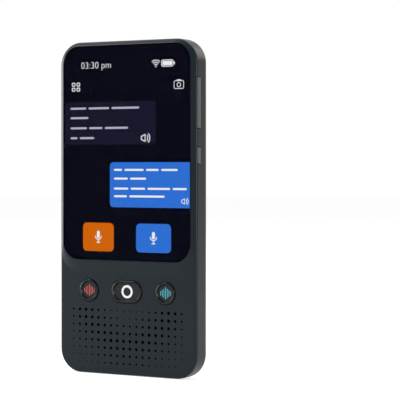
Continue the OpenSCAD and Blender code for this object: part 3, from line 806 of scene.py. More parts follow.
@dataclass
class FrontHousing:
    """The front moulding: panel, raised screen frame, grille and lip.

    Bosses, their pilot holes and the posts are given as (radius, start, end).
    """

    edge_radius: float = 1.0
    lip_inset: float = 1.5
    lip_start: float = 0.6
    lip_end: float = 3.1
    panel_thickness: float = 1.5
    frame_proud: float = 1.05
    frame_steps: int = 12
    frame_foot: float = 42.2
    frame_top: float = 47.1
    frame_inset: float = 0.55
    frame_draw: float = 1.4
    side_draw: float = 1.9
    frame_curve: float = 1.3
    frame_foot_radius: float = 9.0
    frame_top_radius: float = 8.3
    grille_columns: int = 18
    grille_rows: int = 8
    grille_pitch: float = 3.15
    grille_low: float = 4.8
    grille_side: float = 29.0
    grille_top: float = 30.0
    hole_max: float = 1.5
    hole_min: float = 0.56
    trough_row: float = 5.5
    wave_rise: float = 0.092
    wave_reach: float = 4.6
    wave_core: float = 2.9
    far_hole: float = 0.8
    far_fade: float = 0.4
    core_fade: float = 0.22
    cap_gap: float = 0.3
    screw_x: float = 27.9
    screw_z: tuple[float, ...] = (9.0, 43.5, 80.0, 131.0)
    boss: tuple[float, float, float] = (1.6, 1.0, 4.4)
    pilot: tuple[float, float, float] = (0.72, 2.55, 4.9)
    post_x: float = 21.5
    post_z: tuple[float, ...] = (101.0, 134.5)
    post: tuple[float, float, float] = (1.0, 2.55, 4.55)
    hollow_wall: float = 1.2
    hollow_top: float = 45.8
    hollow_radius: float = 1.0
    hollow_end: float = 6.0
    glass_gap: float = 0.06
    glass_ledge: float = 1.5
    pocket_end: float = 2.3

    def build(self) -> None:
        """Builds the housing in place of its CAD node."""
        draft = Sculpt()
        seam = self.edge_radius + 0.01
        body = draft.outline(BODY.drawn_in(self.lip_inset), self.lip_end)
        draft.pull(body, self.lip_start - self.lip_end)
        shell = Sculpt()
        face = shell.outline(BODY, seam)
        shell.follow(face, [(0.0, seam)] + edge_arc(self.edge_radius, 0.0))
        piece = Piece("housing_front", shell)
        piece.join(self._frame()).join(draft).cut(self._hollow())
        piece.join(self._bars(self.screw_x, self.screw_z, self.boss))
        piece.join(self._bars(self.post_x, self.post_z, self.post))
        piece.cut(self._screen_pocket())
        piece.cut(self._bars(self.screw_x, self.screw_z, self.pilot))
        piece.cut(self._openings()).cut(self._grille())
        piece.ease(0.09, 50.0)
        piece.dress(PANEL, "front_plastic", stands_for=["front_housing"])
        self._paint_bore_shade(piece.object.data)

    def _paint_bore_shade(self, mesh: bpy.types.Mesh) -> None:
        """Paints shade in the grille's holes: their walls get a matte black without gloss, so
        the holes read dark.

        Args:
            mesh: The finished mesh of the housing.
        """
        mesh.materials.append(BORE_SHADE.material())
        for face in mesh.polygons:
            x, y, z = face.center
            in_grille = abs(x) < self.grille_side * MM and z < self.grille_top * MM
            in_panel = y_at(0.0) < y < y_at(self.panel_thickness)
            if in_grille and in_panel and abs(face.normal.y) < 0.4:
                face.material_index = 1

    def _frame(self) -> Sculpt:
        """Shapes the raised frame, with a soft slope below the screen.

        Returns:
            Its draft.
        """
        levels = []
        for i in range(-1, self.frame_steps + 1):
            t = max(0, i) / self.frame_steps
            grown = t**self.frame_curve
            inset = self.frame_inset + self.frame_draw * grown
            level = 0.005 - (self.frame_proud + 0.005) * t * t * (3 - 2 * t)
            levels.append((Outline(
                BODY_WIDTH - 2 * (self.frame_inset + self.side_draw * grown),
                self.frame_foot + (self.frame_top - self.frame_foot) * t,
                BODY_HEIGHT - inset,
                self.frame_foot_radius + (self.frame_top_radius - self.frame_foot_radius) * t,
                CORNER_RADIUS - inset,
            ), 0.3 if i < 0 else level))
        draft = Sculpt()
        draft.loft(levels, 20)
        return draft

    @staticmethod
    def _bars(side: float, heights: Iterable[float], size: Sequence[float]) -> Sculpt:
        """Shapes round bars on both sides of the middle.

        Args:
            side: How far they stand from the middle.
            heights: Their heights on each side.
            size: Their radius, start and end.

        Returns:
            Their draft.
        """
        draft = Sculpt()
        radius, start, end = size
        for x in (-side, side):
            for z in heights:
                draft.bar((x, (start + end) / 2, z), radius, end - start)
        return draft

    def _hollow(self) -> Sculpt:
        """Shapes the hollow behind the lower panel.

        Returns:
            Its draft.
        """
        draft = Sculpt()
        inner = BODY.drawn_in(self.lip_inset + self.hollow_wall)
        inner = replace(inner, top=self.hollow_top, high_radius=self.hollow_radius)
        draft.slab(inner, self.panel_thickness, self.hollow_end)
        return draft

    def _screen_pocket(self) -> Sculpt:
        """Shapes the stepped pocket for the glass and the display.

        Returns:
            Its draft.
        """
        draft = Sculpt()
        start, ledge = -self.frame_proud - 1.0, self.glass_ledge
        face = draft.outline(GLASS_OUTLINE.drawn_in(-self.glass_gap), start)
        steps = [(0.0, start), (0.0, 0.0), (ledge, 0.0), (ledge, self.pocket_end)]
        draft.follow(face, steps)
        return draft

    def _openings(self) -> Sculpt:
        """Shapes the openings of the buttons, the side keys and the jack.

        Returns:
            Their draft.
        """
        draft = Sculpt()
        size = CAP_DIAMETER + 2 * self.cap_gap
        home = HOME_WIDTH + 2 * self.cap_gap
        for x, width in ((-BUTTON_PITCH, size), (0.0, home), (BUTTON_PITCH, size)):
            hole = Outline.centred(x, BUTTON_Z, width, size, size * ROUND_END)
            draft.slab(hole, -1.5, self.panel_thickness + 0.6, 24)
        key_slots(draft, 30.9, 0.5, 4.0)
        jack = ((6.9, 1.12, 137.3), (17.1, 4.2, 139.0))
        flex = ((-7.0, 1.8, 130.0), (7.0, 3.6, 132.0))
        draft.block(*jack)
        draft.block(*flex)
        return draft

    def hole_diameter(self, column: int, row: int) -> float:
        """Returns a grille hole's diameter, or 0 where the pattern has faded out.

        Args:
            column: Column of the hole, from the left.
            row: Row of the hole, from the top.

        Returns:
            The diameter in millimetres.
        """
        middle = column - (self.grille_columns - 1) / 2
        climb = row + 1 - self.trough_row + self.wave_rise * middle**2
        away = abs(climb) / math.hypot(1, 2 * self.wave_rise * middle)
        if away > self.wave_reach:
            return 0.0
        if away >= self.wave_core:
            return max(self.hole_min, self.far_hole - self.far_fade * (away - self.wave_core))
        fade = {0: 0.8, 1: 0.95}.get(min(column, self.grille_columns - 1 - column), 1.0)
        return fade * (self.hole_max - self.core_fade * away)

    def _grille(self) -> Sculpt:
        """Shapes the grille's holes, sized by their distance from one wave.

        Returns:
            Their draft.
        """
        draft = Sculpt()
        for column in range(self.grille_columns):
            for row in range(self.grille_rows):
                diameter = self.hole_diameter(column, row)
                if diameter <= 0:
                    continue
                x = (column - (self.grille_columns - 1) / 2) * self.grille_pitch
                z = self.grille_low + (self.grille_rows - 1 - row) * self.grille_pitch
                draft.bar((x, 0.5, z), diameter / 2, 3.0, sides=16)
        return draft


@dataclass
class BackShell:
    """The back moulding: sides, soft back edge, camera bump and cut-outs."""

    seam: float = 1.12
    side_flat: float = 6.7
    edge_power: float = 2.2
    edge_steps: int = 22
    wall: float = 1.4
    bump_foot: float = 25.7
    bump_height: float = 2.3
    bump_softness: float = 0.55
    bore_radius: float = 6.5
    bore_start: float = 9.0
    trim_gap: float = 0.03
    port_width: float = 9.34
    port_height: float = 3.66
    port_depth: float = 4.8
    hole_depth: float = 5.8
    hole_radius: float = 0.5
    low_hole_x: float = 13.0
    high_hole_x: float = -14.0

    def profile(self, wall: float, start: float) -> list[tuple[float, float]]:
        """Returns the side and back edge as (inset, depth) points.

        Args:
            wall: How far inside the outer surface the profile runs.
            start: Depth that it starts from.

        Returns:
            Points from the open front to the flat of the back.
        """
        points = [(0.0, start)]
        reach = CORNER_RADIUS - wall
        deep = BODY_THICKNESS - self.side_flat - wall
        for i in range(self.edge_steps + 1):
            a = math.pi / 2 * min(i / self.edge_steps, 0.999)
            inset = reach * (1 - math.cos(a) ** (2 / self.edge_power))
            depth = self.side_flat + deep * math.sin(a) ** (2 / self.edge_power)
            points.append((min(inset, reach - 0.05), depth))
        return points

    def build(self) -> None:
        """Builds the shell in place of its CAD node."""
        outer = Sculpt()
        outer.follow(outer.outline(BODY, self.seam), self.profile(0.0, self.seam))
        piece = Piece("housing_back", outer)
        piece.join(self._bump())
        inner = Sculpt()
        start = self.seam - 1.0
        inner.follow(
            inner.outline(BODY.drawn_in(self.wall), start), self.profile(self.wall, start)
        )
        piece.cut(inner).cut(self._openings()).cut(self._camera_seat())
        piece.ease(0.08, 50.0)
        piece.dress(SHELL, "back_plastic", stands_for=["back_shell"])

    def _bump(self) -> Sculpt:
        """Shapes the camera bump, which flares from a soft foot to the trim ring.

        Returns:
            Its draft.
        """
        draft = Sculpt()
        foot = self.bump_foot / 2
        top = TRIM_DIAMETER / 2 + 0.25
        height = self.bump_height - 0.15
        base = BODY_THICKNESS - self.wall / 2
        steps = 16
        profile = [(0.0, base), (foot, base), (foot, BODY_THICKNESS - 0.02)]
        for i in range(1, steps + 1):
            t = i / steps
            lift = t + (t * t * (3 - 2 * t) - t) * self.bump_softness
            profile.append((foot - (foot - top) * t, BODY_THICKNESS + height * lift))
        profile.append((0.0, BODY_THICKNESS + height))
        draft.turned(0.0, CAMERA_Z, profile, 96)
        return draft

    def _openings(self) -> Sculpt:
        """Shapes the cut-outs of the keys, jack, port and microphones.

        Returns:
            Their draft.
        """
        draft = Sculpt()
        key_slots(draft, 31.85, 0.0, 3.2)
        jack = ((6.8, 0.5, 134.0), (17.2, 9.6, 144.0))
        draft.block(*jack)
        high = self.port_height
        port = Outline.centred(0.0, 0.0, self.port_width, high, high * 0.499)
        face = draft.outline(port, 0.0, 10)
        draft.turn(face.verts[:], -90, "X", (0, y_at(0.0), 0))
        draft.move(face.verts[:], depth=self.port_depth, z=-1.0)
        drawn = draft.pull(face, 0.0)
        draft.move(drawn.verts[:], z=3.4)
        for x, z in ((self.low_hole_x, 0.0), (self.high_hole_x, BODY_HEIGHT)):
            draft.bar((x, self.hole_depth, z), self.hole_radius, 4.0, "Z", 20)
        return draft

    def _camera_seat(self) -> Sculpt:
        """Shapes the bore behind the window and the seat of window and ring.

        Returns:
            Their draft.
        """
        draft = Sculpt()
        end = BODY_THICKNESS + self.bump_height + 1
        bore, start = self.bore_radius, self.bore_start
        radius = TRIM_DIAMETER / 2 + self.trim_gap
        profile = [(0.0, start), (bore, start), (bore, CAMERA_SEAT)]
        profile += [(radius, CAMERA_SEAT), (radius, end), (0.0, end)]
        draft.turned(0.0, CAMERA_Z, profile, 96)
        return draft


# -------------------------------------------------------------------- screen


@dataclass
class ScreenStack:
    """Cover glass and the display that glows behind it."""

    glass_front: float = -0.9
    glass_back: float = -0.78
    print_front: float = -0.72
    print_back: float = -0.1

    def build(self) -> None:
        """Builds glass, black print and display in place of their CAD nodes."""
        draft = Sculpt()
        back = [(0.0, self.glass_back), (0.0, self.glass_front + 0.06)]
        edge = [(0.02, self.glass_front + 0.02), (0.06, self.glass_front)]
        draft.follow(draft.outline(GLASS_OUTLINE, self.glass_back, 24), back + edge)
        Piece("cover_glass", draft).dress(GLASS, "cover_glass", stands_for=["screen_glass"])
        backing = Sculpt()
        backing.slab(GLASS_OUTLINE.drawn_in(0.02), self.print_front, self.print_back, 24)
        Piece("glass_print", backing).dress(PRINT, "adhesive")
        picture = Sculpt()
        front = self.print_front
        picture.slab(GLASS_OUTLINE.drawn_in(0.35), front - 0.02, front, 24)
        Piece("display_picture", picture).dress(DISPLAY, "display")
        panel = Sculpt()
        panel.slab(GLASS_OUTLINE.drawn_in(1.6), self.print_back, 2.1, 20)
        Piece("display", panel).dress(DISPLAY, "display", stands_for=["display_panel"])


class Emblem:
    """A flat sign that the display shows, made of pills, rings and arcs."""

    DEPTH = -0.742
    THICKNESS = 0.012

    def __init__(self) -> None:
        """Starts with an empty sign."""
        self.draft = Sculpt()

    def _plate(
        self, x: float, z: float, width: float, height: float, radius: float, steps: int = 5
    ) -> BMFace:
        """Returns a new rounded rectangle of the sign."""
        shape = Outline.centred(x, z, width, height, radius)
        return self.draft.outline(shape, self.DEPTH, steps)

    def _line(self, face: BMFace, width: float) -> Emblem:
        """Leaves only a line along a face's rim.

        Args:
            face: The face.
            width: Width of the line.

        Returns:
            The sign.
        """
        self.draft.inset(face, width)
        bmesh.ops.delete(self.draft.bm, geom=[face], context="FACES")
        return self

    def pill(
        self, x: float, z: float, width: float, height: float, radius: Optional[float] = None
    ) -> Emblem:
        """Adds a filled rounded rectangle.

        Args:
            x: Its middle.
            z: Its height.
            width: Its width.
            height: Its height from bottom to top.
            radius: Corner radius, or None for round ends.

        Returns:
            The sign.
        """
        corner = ROUND_END * min(width, height) if radius is None else radius
        self._plate(x, z, width, height, corner)
        return self

    def ring(
        self, x: float, z: float, width: float, height: float, radius: float, line: float
    ) -> Emblem:
        """Adds a rounded rectangle that is drawn as a line."""
        return self._line(self._plate(x, z, width, height, radius, 6), line)

    def arc(
        self, x: float, z: float, radius: float, line: float, start: float, end: float
    ) -> Emblem:
        """Adds a curved line.

        Args:
            x: Middle of its circle.
            z: Height of that middle.
            radius: Radius of the line's middle.
            line: Width of the line.
            start: Angle that it starts from, in degrees from the right.
            end: Angle that it ends at.

        Returns:
            The sign.
        """
        rims = (radius - line / 2, radius + line / 2)
        chain = self.draft.section((x + r, self.DEPTH, z) for r in rims)
        centre = point(x, self.DEPTH, z)
        self.draft.turn(chain[:2], -start, "Y", centre)
        bmesh.ops.spin(
            self.draft.bm, geom=chain, cent=centre, axis=(0, -1, 0), dvec=(0, 0, 0),
            angle=math.radians(end - start), steps=12, use_merge=False,
        )
        return self

    def tab(self, x: float, z: float, width: float, height: float, radius: float) -> Emblem:
        """Adds a filled rectangle that is rounded at its left end only.

        Args:
            x: Its middle.
            z: Its height.
            width: Its width.
            height: Its height from bottom to top.
            radius: Radius of its left corners.

        Returns:
            The sign.
        """
        for vert in self._plate(x, z, width, height, radius).verts:
            if vert.co.x > (x + width / 2 - radius) * MM - 1e-7:
                vert.co.x = (x + width / 2) * MM
        return self

    def taper(
        self, x: float, z: float, width: float, left: float, right: float, line: float
    ) -> Emblem:
        """Adds the line of a horn, which grows from left to right.

        Args:
            x: Its middle.
            z: Its height.
            width: Its width.
            left: Its height at the left end.
            right: Its height at the right end.
            line: Width of the line.

        Returns:
            The sign.
        """
        face = self._plate(x, z, width, left, 0.04, 2)
        for vert in face.verts:
            if vert.co.x > x * MM:
                vert.co.z = z * MM + (vert.co.z - z * MM) * right / left
        return self._line(face, line)

    def show(self, name: str, finish: Finish, raised: float = 0.0) -> None:
        """Makes the sign a thin piece on the display.

        Args:
            name: Name of the piece.
            finish: What it glows like.
            raised: How far it lies in front of the lowest layer.
        """
        bm = self.draft.bm
        bmesh.ops.recalc_face_normals(bm, faces=bm.faces[:])
        drawn = bmesh.ops.extrude_face_region(bm, geom=bm.faces[:])["geom"]
        self.draft.move([v for v in drawn if isinstance(v, BMVert)], depth=-self.THICKNESS)
        self.draft.move(bm.verts[:], depth=-raised)
        Piece(name, self.draft).dress(finish, "display")


@dataclass
class ScreenPicture:
    """What the display shows: bubbles with dashes for words, and plain signs."""

    white: Finish = field(default_factory=lambda: lit("lit_white", linear(232, 234, 238)))
    grey: Finish = field(default_factory=lambda: lit("lit_grey", linear(176, 178, 190)))
    dark: Finish = field(default_factory=lambda: lit("lit_dusk", linear(21, 22, 42)))
    blue: Finish = field(default_factory=lambda: lit("lit_blue", linear(45, 109, 208)))
    orange: Finish = field(default_factory=lambda: lit("lit_orange", linear(205, 98, 6)))
    dash_height: float = 0.85
    dash_gap: float = 1.25
    upper_layer: float = 0.014

    def build(self) -> None:
        """Builds every sign of the picture."""
        self._status_row()
        self._bubbles()
        self._tiles()

    def _status_row(self) -> None:
        """Builds the clock, the signs beside it and those below."""
        self._clock()
        sign = Emblem()
        for radius in (1.05, 1.95, 2.85):
            sign.arc(14.81, 128.45, radius, 0.36, 47, 133)
        sign.pill(14.81, 128.65, 0.6, 0.6)
        sign.ring(20.36, 129.9, 5.9, 2.9, 0.9, 0.35).pill(20.36, 129.9, 4.7, 1.7, 0.4)
        sign.pill(23.66, 129.9, 0.5, 1.1)
        sign.show("screen_status_signs", self.white)
        menu = Emblem()
        for dx in (-1.2, 1.2):
            for dz in (-1.05, 1.05):
                menu.ring(-25.12 + dx, 121.03 + dz, 1.8, 1.65, 0.55, 0.38)
        menu.show("screen_menu_sign", self.white)
        camera = Emblem()
        camera.ring(25.86, 120.9, 4.8, 3.4, 0.6, 0.26).ring(25.86, 120.85, 2.0, 2.0, 0.99, 0.28)
        camera.pill(25.86, 122.85, 2.1, 0.4)
        camera.show("screen_camera_sign", self.white)

    def _clock(self) -> None:
        """Builds the clock's digits from plain type."""
        letters = bpy.data.curves.new("clock_type", "FONT")
        letters.body = "03:30 pm"
        letters.size = 4.1 * MM
        letters.offset = -0.045 * MM
        letters.extrude = 0.006 * MM
        letters.resolution_u = 3
        holder = stand("clock_type", letters)
        graph = bpy.context.evaluated_depsgraph_get()
        mesh = bpy.data.meshes.new_from_object(holder.evaluated_get(graph))
        bpy.data.objects.remove(holder)
        bpy.data.curves.remove(letters)
        draft = Sculpt()
        draft.bm.from_mesh(mesh)
        bpy.data.meshes.remove(mesh)
        verts = draft.bm.verts
        bmesh.ops.remove_doubles(draft.bm, verts=verts[:], dist=1e-7)
        draft.turn(verts[:], 90, "X")
        draft.move(verts[:], -22.58, PANEL_Y + Emblem.DEPTH - 0.006, 128.65)
        Piece("screen_clock", draft).dress(self.white, "display")

    def _bubbles(self) -> None:
        """Builds both speech bubbles, their dashes and their speaker signs."""
        Emblem().pill(-7.9, 105.55, 45.4, 18.1, 1.6).show("screen_bubble_left", self.dark)
        Emblem().tab(11.6, 79.7, 39.0, 18.84, 1.6).show("screen_bubble_right", self.blue)
        left = (
            (111.86, (8.0, 10.3, 13.7)), (107.83, (9.1,)),
            (103.52, (8.3, 6.7, 11.5)), (99.33, (3.5, 7.3)),
        )
        right = (
            (85.92, (4.0, 9.4, 6.1, 7.9)), (82.28, (6.8, 7.8)),
            (78.10, (7.1, 7.0, 10.9, 6.7)), (74.90, (6.4, 17.2)),
        )
        for name, start, rows, ink in (
            ("screen_dashes_left", -27.89, left, self.grey),
            ("screen_dashes_right", -5.84, right, self.white),
        ):
            sign = Emblem()
            for z, words in rows:
                x = start
                for length in words:
                    sign.pill(x + length / 2, z, length, self.dash_height)
                    x += length + self.dash_gap
            sign.show(name, ink, self.upper_layer)
        for name, x, z, size in (
            ("screen_speaker_left", 9.15, 99.17, 1.0),
            ("screen_speaker_right", 28.3, 73.04, 0.75),
        ):
            sign = Emblem()
            sign.taper(x - 0.55 * size, z, 2.2 * size, 1.5 * size, 3.4 * size, 0.38 * size)
            for radius in (1.5, 2.5):
                sign.arc(x + 0.2 * size, z, radius * size, 0.38 * size, -48, 48)
            sign.show(name, self.white, self.upper_layer)

    def _tiles(self) -> None:
        """Builds both tiles and their microphone signs."""
        for name, x, width, ink in (
            ("left", -13.73, 15.5, self.orange), ("right", 13.62, 17.0, self.blue),
        ):
            tile = Emblem().pill(x, 57.65, width, 12.0, 1.9)
            tile.show(f"screen_tile_{name}", ink)
            sign = Emblem()
            sign.pill(x, 58.75, 1.5, 3.1).arc(x, 58.2, 1.55, 0.42, 180, 360)
            sign.pill(x, 56.1, 0.42, 1.2, 0.1).pill(x, 55.4, 2.0, 0.42)
            sign.show(f"screen_microphone_{name}", self.white, self.upper_layer)


# ------------------------------------------------------------------ controls


@dataclass
class ButtonRow:
    """The three front buttons."""

    proud: float = 0.55
    shoulder: float = 0.45
    rim: float = 0.72
    flange: float = 0.95
    flange_front: float = 1.55
    flange_back: float = 2.15
    stem_radius: float = 1.2
    stem_length: float = 0.9
    stem_depth: float = 2.55
    wave_heights: tuple[float, ...] = (1.8, 2.9, 3.9, 5.2, 3.9, 2.9, 1.8)
    wave_pitch: float = 0.8
    wave_bar: float = 0.3

    def build(self) -> None:
        """Builds caps and wave marks in place of their CAD nodes."""
        for name, x, width, body in (
            ("left", -BUTTON_PITCH, CAP_DIAMETER, "left_press"),
            ("home", 0.0, HOME_WIDTH, "home_press"),
            ("right", BUTTON_PITCH, CAP_DIAMETER, "right_press"),
        ):
            draft = self._cap(name, x, width)
            place = (x, self.stem_depth, BUTTON_Z)
            draft.bar(place, self.stem_radius, self.stem_length, sides=24)
            piece = Piece(f"button_cap_{name}", draft)
            piece.dress(CAP, "cap_plastic", body, [f"{name}_button"], 30.0)
        self._wave("left", -BUTTON_PITCH, RED, "red_inlay")
        self._wave("right", BUTTON_PITCH, TEAL, "teal_inlay")

    def _wave(self, name: str, x: float, finish: Finish, slot: str) -> None:
        """Builds a button's sound wave mark in place of its CAD node.

        Args:
            name: Which button it is in.
            x: Its middle.
            finish: The finish that it wears.
            slot: The record's material slot.
        """
        front, back = (corner[1] / MM - PANEL_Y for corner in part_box(f"{name}_wave_inlay"))
        draft = Sculpt()
        for i, height in enumerate(self.wave_heights):
            at = x + (i - len(self.wave_heights) // 2) * self.wave_pitch
            bar = Outline.centred(at, BUTTON_Z, self.wave_bar, height, self.wave_bar * 0.499)
            draft.slab(bar, front, back, 4)
        piece = Piece(f"wave_mark_{name}", draft)
        piece.dress(finish, slot, f"{name}_press", [f"{name}_wave_inlay"])

    def _cap(self, name: str, x: float, width: float) -> Sculpt:
        """Shapes a cap with flange, rounded shoulder and dished face.

        Args:
            name: Which button it is.
            x: Its middle.
            width: Its width.

        Returns:
            The cap's draft.
        """
        mark = "home_ring_inlay" if name == "home" else f"{name}_wave_inlay"
        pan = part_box(mark)[0][1] / MM - PANEL_Y + 0.03
        edge = CAP_DIAMETER / 2
        wide = edge + self.flange
        rim = edge - self.rim
        profile = [(0.0, self.flange_back), (wide, self.flange_back)]
        profile += [(wide, self.flange_front), (edge, self.flange_front)]
        profile += [(edge - i, d) for i, d in edge_arc(self.shoulder, -self.proud, 5)]
        lip, slope, foot = rim - 0.12, rim - 0.42, rim - 0.6
        profile += [(rim, -self.proud), (lip, -self.proud + 0.15)]
        profile += [(slope, pan - 0.06), (foot, pan), (0.0, pan)]
        draft = Sculpt()
        draft.racetrack(x, BUTTON_Z, width - CAP_DIAMETER, profile)
        return draft


@dataclass
class SideKeys:
    """The volume rocker and the power key on the right side."""

    outer_x: float = 34.25
    inner_x: float = 31.45
    front: float = 0.6
    width: float = 2.4
    back: float = 4.65
    rounding: float = 0.4
    stem_x: tuple[float, float] = (30.3, 31.6)
    stem_depth: tuple[float, float] = (3.6, 4.6)
    stem_half: float = 0.5

    def build(self) -> None:
        """Builds both keys in place of their CAD nodes."""
        shapes = {
            "volume": (32.05, (-6.5, 6.5), "volume_rocker"),
            "power": (32.25, (0.0,), "power_key"),
        }
        for name, z, length in SIDE_KEYS:
            plate, stems, node = shapes[name]
            half = length / 2
            key, rest, stem = Sculpt(), Sculpt(), Sculpt()
            behind = self.front + self.width
            key.block((plate - 0.1, self.front, z - half), (self.outer_x, behind, z + half))
            outer = [e for e in key.bm.edges if self._outer(e)]
            bmesh.ops.bevel(
                key.bm, geom=outer, offset=self.rounding * MM, offset_type="OFFSET",
                segments=4, profile=0.5, affect="EDGES", material=-1, clamp_overlap=True,
            )
            middle = self.front + self.width / 2
            half -= 0.1
            rest.block((self.inner_x, middle, z - half), (plate, self.back, z + half))
            for dz in stems:
                low, high = zip(self.stem_x, self.stem_depth)
                stem.block((*low, z + dz - self.stem_half), (*high, z + dz + self.stem_half))
            piece = Piece(f"side_key_{name}", key).join(rest).join(stem)
            piece.dress(KEY, "key_plastic", f"{name}_press", [node])

    def _outer(self, edge: BMEdge) -> bool:
        """Returns whether an edge lies in the key's outer face."""
        return all(v.co.x > (self.outer_x - 0.01) * MM for v in edge.verts)


# -------------------------------------------------------------------- camera


@dataclass
class CameraUnit:
    """The camera's window, lens and trim ring on the bump."""

    wall: float = 0.6
    ring_edge: float = 0.2
    ring_soft: float = 0.06
    window: float = 0.9
    window_edge: float = 0.15
    top: float = 14.7
    eye: float = 3.3
    eye_rise: float = 0.22

    def build(self) -> None:
        """Builds ring, window and lens, with two arcs of painted reflection on the lens."""
        outer, inner = TRIM_DIAMETER / 2, TRIM_DIAMETER / 2 - self.wall
        edge, soft, top = self.ring_edge, self.ring_soft, self.top
        self._turn("camera_trim", TRIM, "trim_metal", "camera_trim_ring", [
            (inner, CAMERA_SEAT), (outer, CAMERA_SEAT), (outer, top - edge),
            (outer - soft, top - soft), (outer - edge, top), (inner + edge, top),
            (inner + soft, top - soft), (inner, top - edge), (inner, CAMERA_SEAT),
        ], 120)
        face = CAMERA_SEAT + self.window
        radius, edge = inner - 0.02, self.window_edge
        self._turn("camera_cover", WINDOW, "camera_window", "camera_window", [
            (0.0, CAMERA_SEAT), (radius, CAMERA_SEAT), (radius, face - edge),
            (radius - edge, face), (0.0, face),
        ], 120)
        angles = [math.pi / 2 * i / 8 for i in range(8)]
        dome = [(self.eye * math.cos(a), face + self.eye_rise * math.sin(a)) for a in angles]
        ends = [(0.0, face - 0.1), (self.eye, face - 0.1)], [(0.0, face + self.eye_rise)]
        self._turn("camera_eye", LENS, "camera_lens", "", ends[0] + dome + ends[1])
        # Two thin arcs on the lens dome, in lilac and blue, are painted reflections of the
        # lights.
        near, far = 0.55 * self.eye, 0.7 * self.eye
        level = face + self.eye_rise * math.sin(math.acos(0.62))
        glint = [(near, level - 0.02), (far, level - 0.02), (far, level + 0.01),
                 (near, level + 0.03), (near, level - 0.02)]
        for name, finish, start in (("lilac", GLINT_LILAC, -35.0), ("blue", GLINT_BLUE, 145.0)):
            self._turn(f"lens_glint_{name}", finish, "camera_lens", "", glint, 14, start, 70.0)

    def _turn(
        self, name: str, finish: Finish, slot: str, node: str,
        profile: Sequence[tuple[float, float]], steps: int = 72, start: float = 0.0,
        sweep: float = 360.0,
    ) -> None:
        """Builds a piece that is turned about the camera's axis.

        Args:
            name: Name of the piece.
            finish: The finish that it wears.
            slot: The record's material slot.
            node: The CAD node that it stands for, or nothing.
            profile: Points of (radius, depth) of its section.
            steps: How many steps make the turn.
            start: Angle that the turn starts from, in degrees.
            sweep: Angle of the turn in degrees.
        """
        draft = Sculpt()
        draft.turned(0.0, CAMERA_Z, profile, steps, start, sweep)
        Piece(name, draft).dress(finish, slot, stands_for=[node] if node else [])


# -------------------------------------------------------------------- inside


@dataclass
class CarriedNodes:
    """The CAD nodes that stay as they are and only get a finish."""

    finishes: tuple[tuple[Finish, str], ...] = (
        (FRAME_PLASTIC, "mid_frame"),
        (STEEL, "chassis_screws usb_c_shell"),
        (TAPE, "glass_adhesive battery_tape battery_lead"),
        (FLEX, "display_flex side_key_board board_link_flex wifi_antenna"),
        (WHITE, "home_ring_inlay"),
        (PLUNGER, "left_switch_plunger home_switch_plunger right_switch_plunger"),
        (PLUNGER, "volume_switch_plungers power_switch_plunger battery_socket"),
        (SWITCH, "front_switches side_switches loudspeaker usb_c_tongue"),
        (BOARD, "button_board main_board io_board"),
        (TIN, "shield_cans microphones"),
        (FOIL, "battery"),
        (FOAM, "speaker_gasket camera_gasket"),
        (MESH, "speaker_mesh"),
        (CAMERA_BLACK, "camera_module camera_lens"),
        (JACK, "headphone_jack"),
    )

    def build(self, nodes: dict[str, bpy.types.Object]) -> None:
        """Dresses the carried nodes.

        Args:
            nodes: The CAD nodes by name.
        """
        for finish, names in self.finishes:
            for name in names.split():
                for holder in nodes[name].material_slots:
                    holder.link = "OBJECT"
                    holder.material = finish.material()
                LOG.info("%s keeps its CAD shape", name)


# -------------------------------------------------------------------- studio


@dataclass(frozen=True)
class Softbox:
    """A soft rectangular light that faces the object."""

    name: str
    place: tuple[float, float, float]
    width: float
    height: float
    power: float
    colour: Colour = (1.0, 1.0, 1.0)

    def hang(self) -> None:
        """Hangs the light."""
        light = bpy.data.lights.new(self.name, "AREA")
        light.shape = "RECTANGLE"
        light.size, light.size_y = self.width, self.height
        light.energy, light.color = self.power, self.colour
        holder = stand(self.name, light)
        holder.location = self.place
        aim = Vector((0, 0, BODY_HEIGHT * MM / 2)) - Vector(self.place)
        holder.rotation_euler = aim.to_track_quat("-Z", "Y").to_euler()


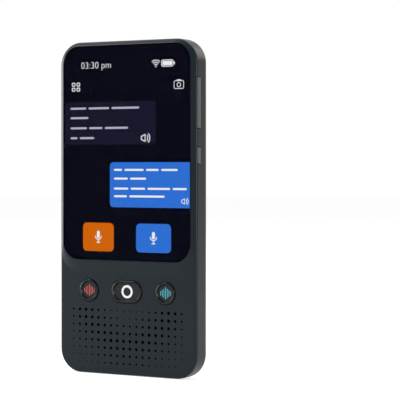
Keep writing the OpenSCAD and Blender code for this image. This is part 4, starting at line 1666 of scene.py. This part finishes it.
@dataclass
class Studio:
    """Floor, soft lights and the camera."""

    azimuth: float = 32.49
    pan: float = -2.18
    distance: float = 0.7141
    height: float = 0.08802
    lens: float = 152.49
    shift_y: float = -0.0879
    ambient: float = 0.35
    floor_level: float = 0.66
    floor_radius: float = 4.0
    floor_drop: float = 0.0002
    lights: tuple[Softbox, ...] = (
        Softbox("key", (-0.54, -0.33, 0.79), 0.5, 0.5, 4.0),
        Softbox("left_strip", (-0.87, -0.24, 0.16), 0.85, 0.4, 9.0, (0.94, 0.97, 1.0)),
        Softbox("overhead", (0.1, 0.2, 0.8), 0.5, 0.5, 3.0),
        Softbox("right_strip", (0.85, -0.15, 0.2), 0.4, 0.5, 4.0, (1.0, 0.95, 0.9)),
        Softbox("rear", (0.35, 0.95, 0.6), 0.5, 0.5, 2.2, (1.0, 0.97, 0.93)),
    )

    def build(self) -> None:
        """Builds the whole studio."""
        self._camera()
        self._world()
        self._floor()
        for light in self.lights:
            light.hang()

    def _camera(self) -> None:
        """Sets the camera at the photograph's place."""
        lens = bpy.data.cameras.new("camera")
        lens.lens = self.lens
        lens.sensor_width = 36.0
        lens.shift_y = self.shift_y
        lens.clip_start = 0.01
        holder = stand("camera", lens)
        a = math.radians(self.azimuth)
        holder.location = (
            self.distance * math.sin(a), -self.distance * math.cos(a), self.height
        )
        holder.rotation_euler = (math.pi / 2, 0, math.radians(self.azimuth + self.pan))
        bpy.context.scene.camera = holder

    def _seen(self, tree: bpy.types.NodeTree) -> bpy.types.NodeSocket:
        """Tells what is seen straight, in gloss or through glass from what is only lit.

        Args:
            tree: The node tree.

        Returns:
            A socket with 1 where it is seen, and 0 elsewhere.
        """
        path = add(tree, "LightPath")
        level = path.outputs["Is Camera Ray"]
        for name in ("Is Glossy Ray", "Is Transmission Ray"):
            both = {0: level, 1: path.outputs[name]}
            level = add(tree, "Math", both, operation="MAXIMUM").outputs[0]
        return level

    def _world(self) -> None:
        """Makes a white surround that lights the object only softly."""
        world = bpy.data.worlds.new("surround")
        bpy.context.scene.world = world
        world.use_nodes = True
        tree = world.node_tree
        back = tree.nodes["Background"]
        back.inputs["Color"].default_value = (1, 1, 1, 1)
        level = add(tree, "MapRange", {
            "Value": self._seen(tree), "To Min": self.ambient, "To Max": 1.0,
        })
        tree.links.new(level.outputs["Result"], back.inputs["Strength"])

    def _floor(self) -> None:
        """Lays the pale floor, which keeps the object's shadow."""
        draft = Sculpt()
        bmesh.ops.create_circle(
            draft.bm, cap_ends=True, segments=64, radius=self.floor_radius
        )
        mesh = bpy.data.meshes.new("floor")
        draft.bm.to_mesh(mesh)
        draft.bm.free()
        floor = stand("floor", mesh)
        floor.location.z = -self.floor_drop
        made = bpy.data.materials.new("pale_floor")
        made.use_nodes = True
        tree = made.node_tree
        shader = tree.nodes["Principled BSDF"]
        for name, value in (
            ("Base Color", (0.8, 0.8, 0.8, 1)), ("Roughness", 0.9),
            ("Specular IOR Level", 0.1), ("Emission Color", (1, 1, 1, 1)),
        ):
            shader.inputs[name].default_value = value
        level = {0: self._seen(tree), 1: self.floor_level}
        glow = add(tree, "Math", level, operation="MULTIPLY")
        tree.links.new(glow.outputs[0], shader.inputs["Emission Strength"])
        mesh.materials.append(made)


def main() -> None:
    """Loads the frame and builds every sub-assembly."""
    logging.basicConfig(level=logging.INFO, format="%(message)s")
    for spare in list(bpy.data.objects):
        bpy.data.objects.remove(spare)
    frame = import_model()
    bpy.context.scene.view_settings.view_transform = "Standard"
    CarriedNodes().build(frame["nodes"])
    for part in (FrontHousing(), BackShell(), ScreenStack(), ScreenPicture(),
                 ButtonRow(), SideKeys(), CameraUnit(), Studio()):
        part.build()
        LOG.info("built %s", type(part).__name__)


if __name__ == "__main__":
    main()
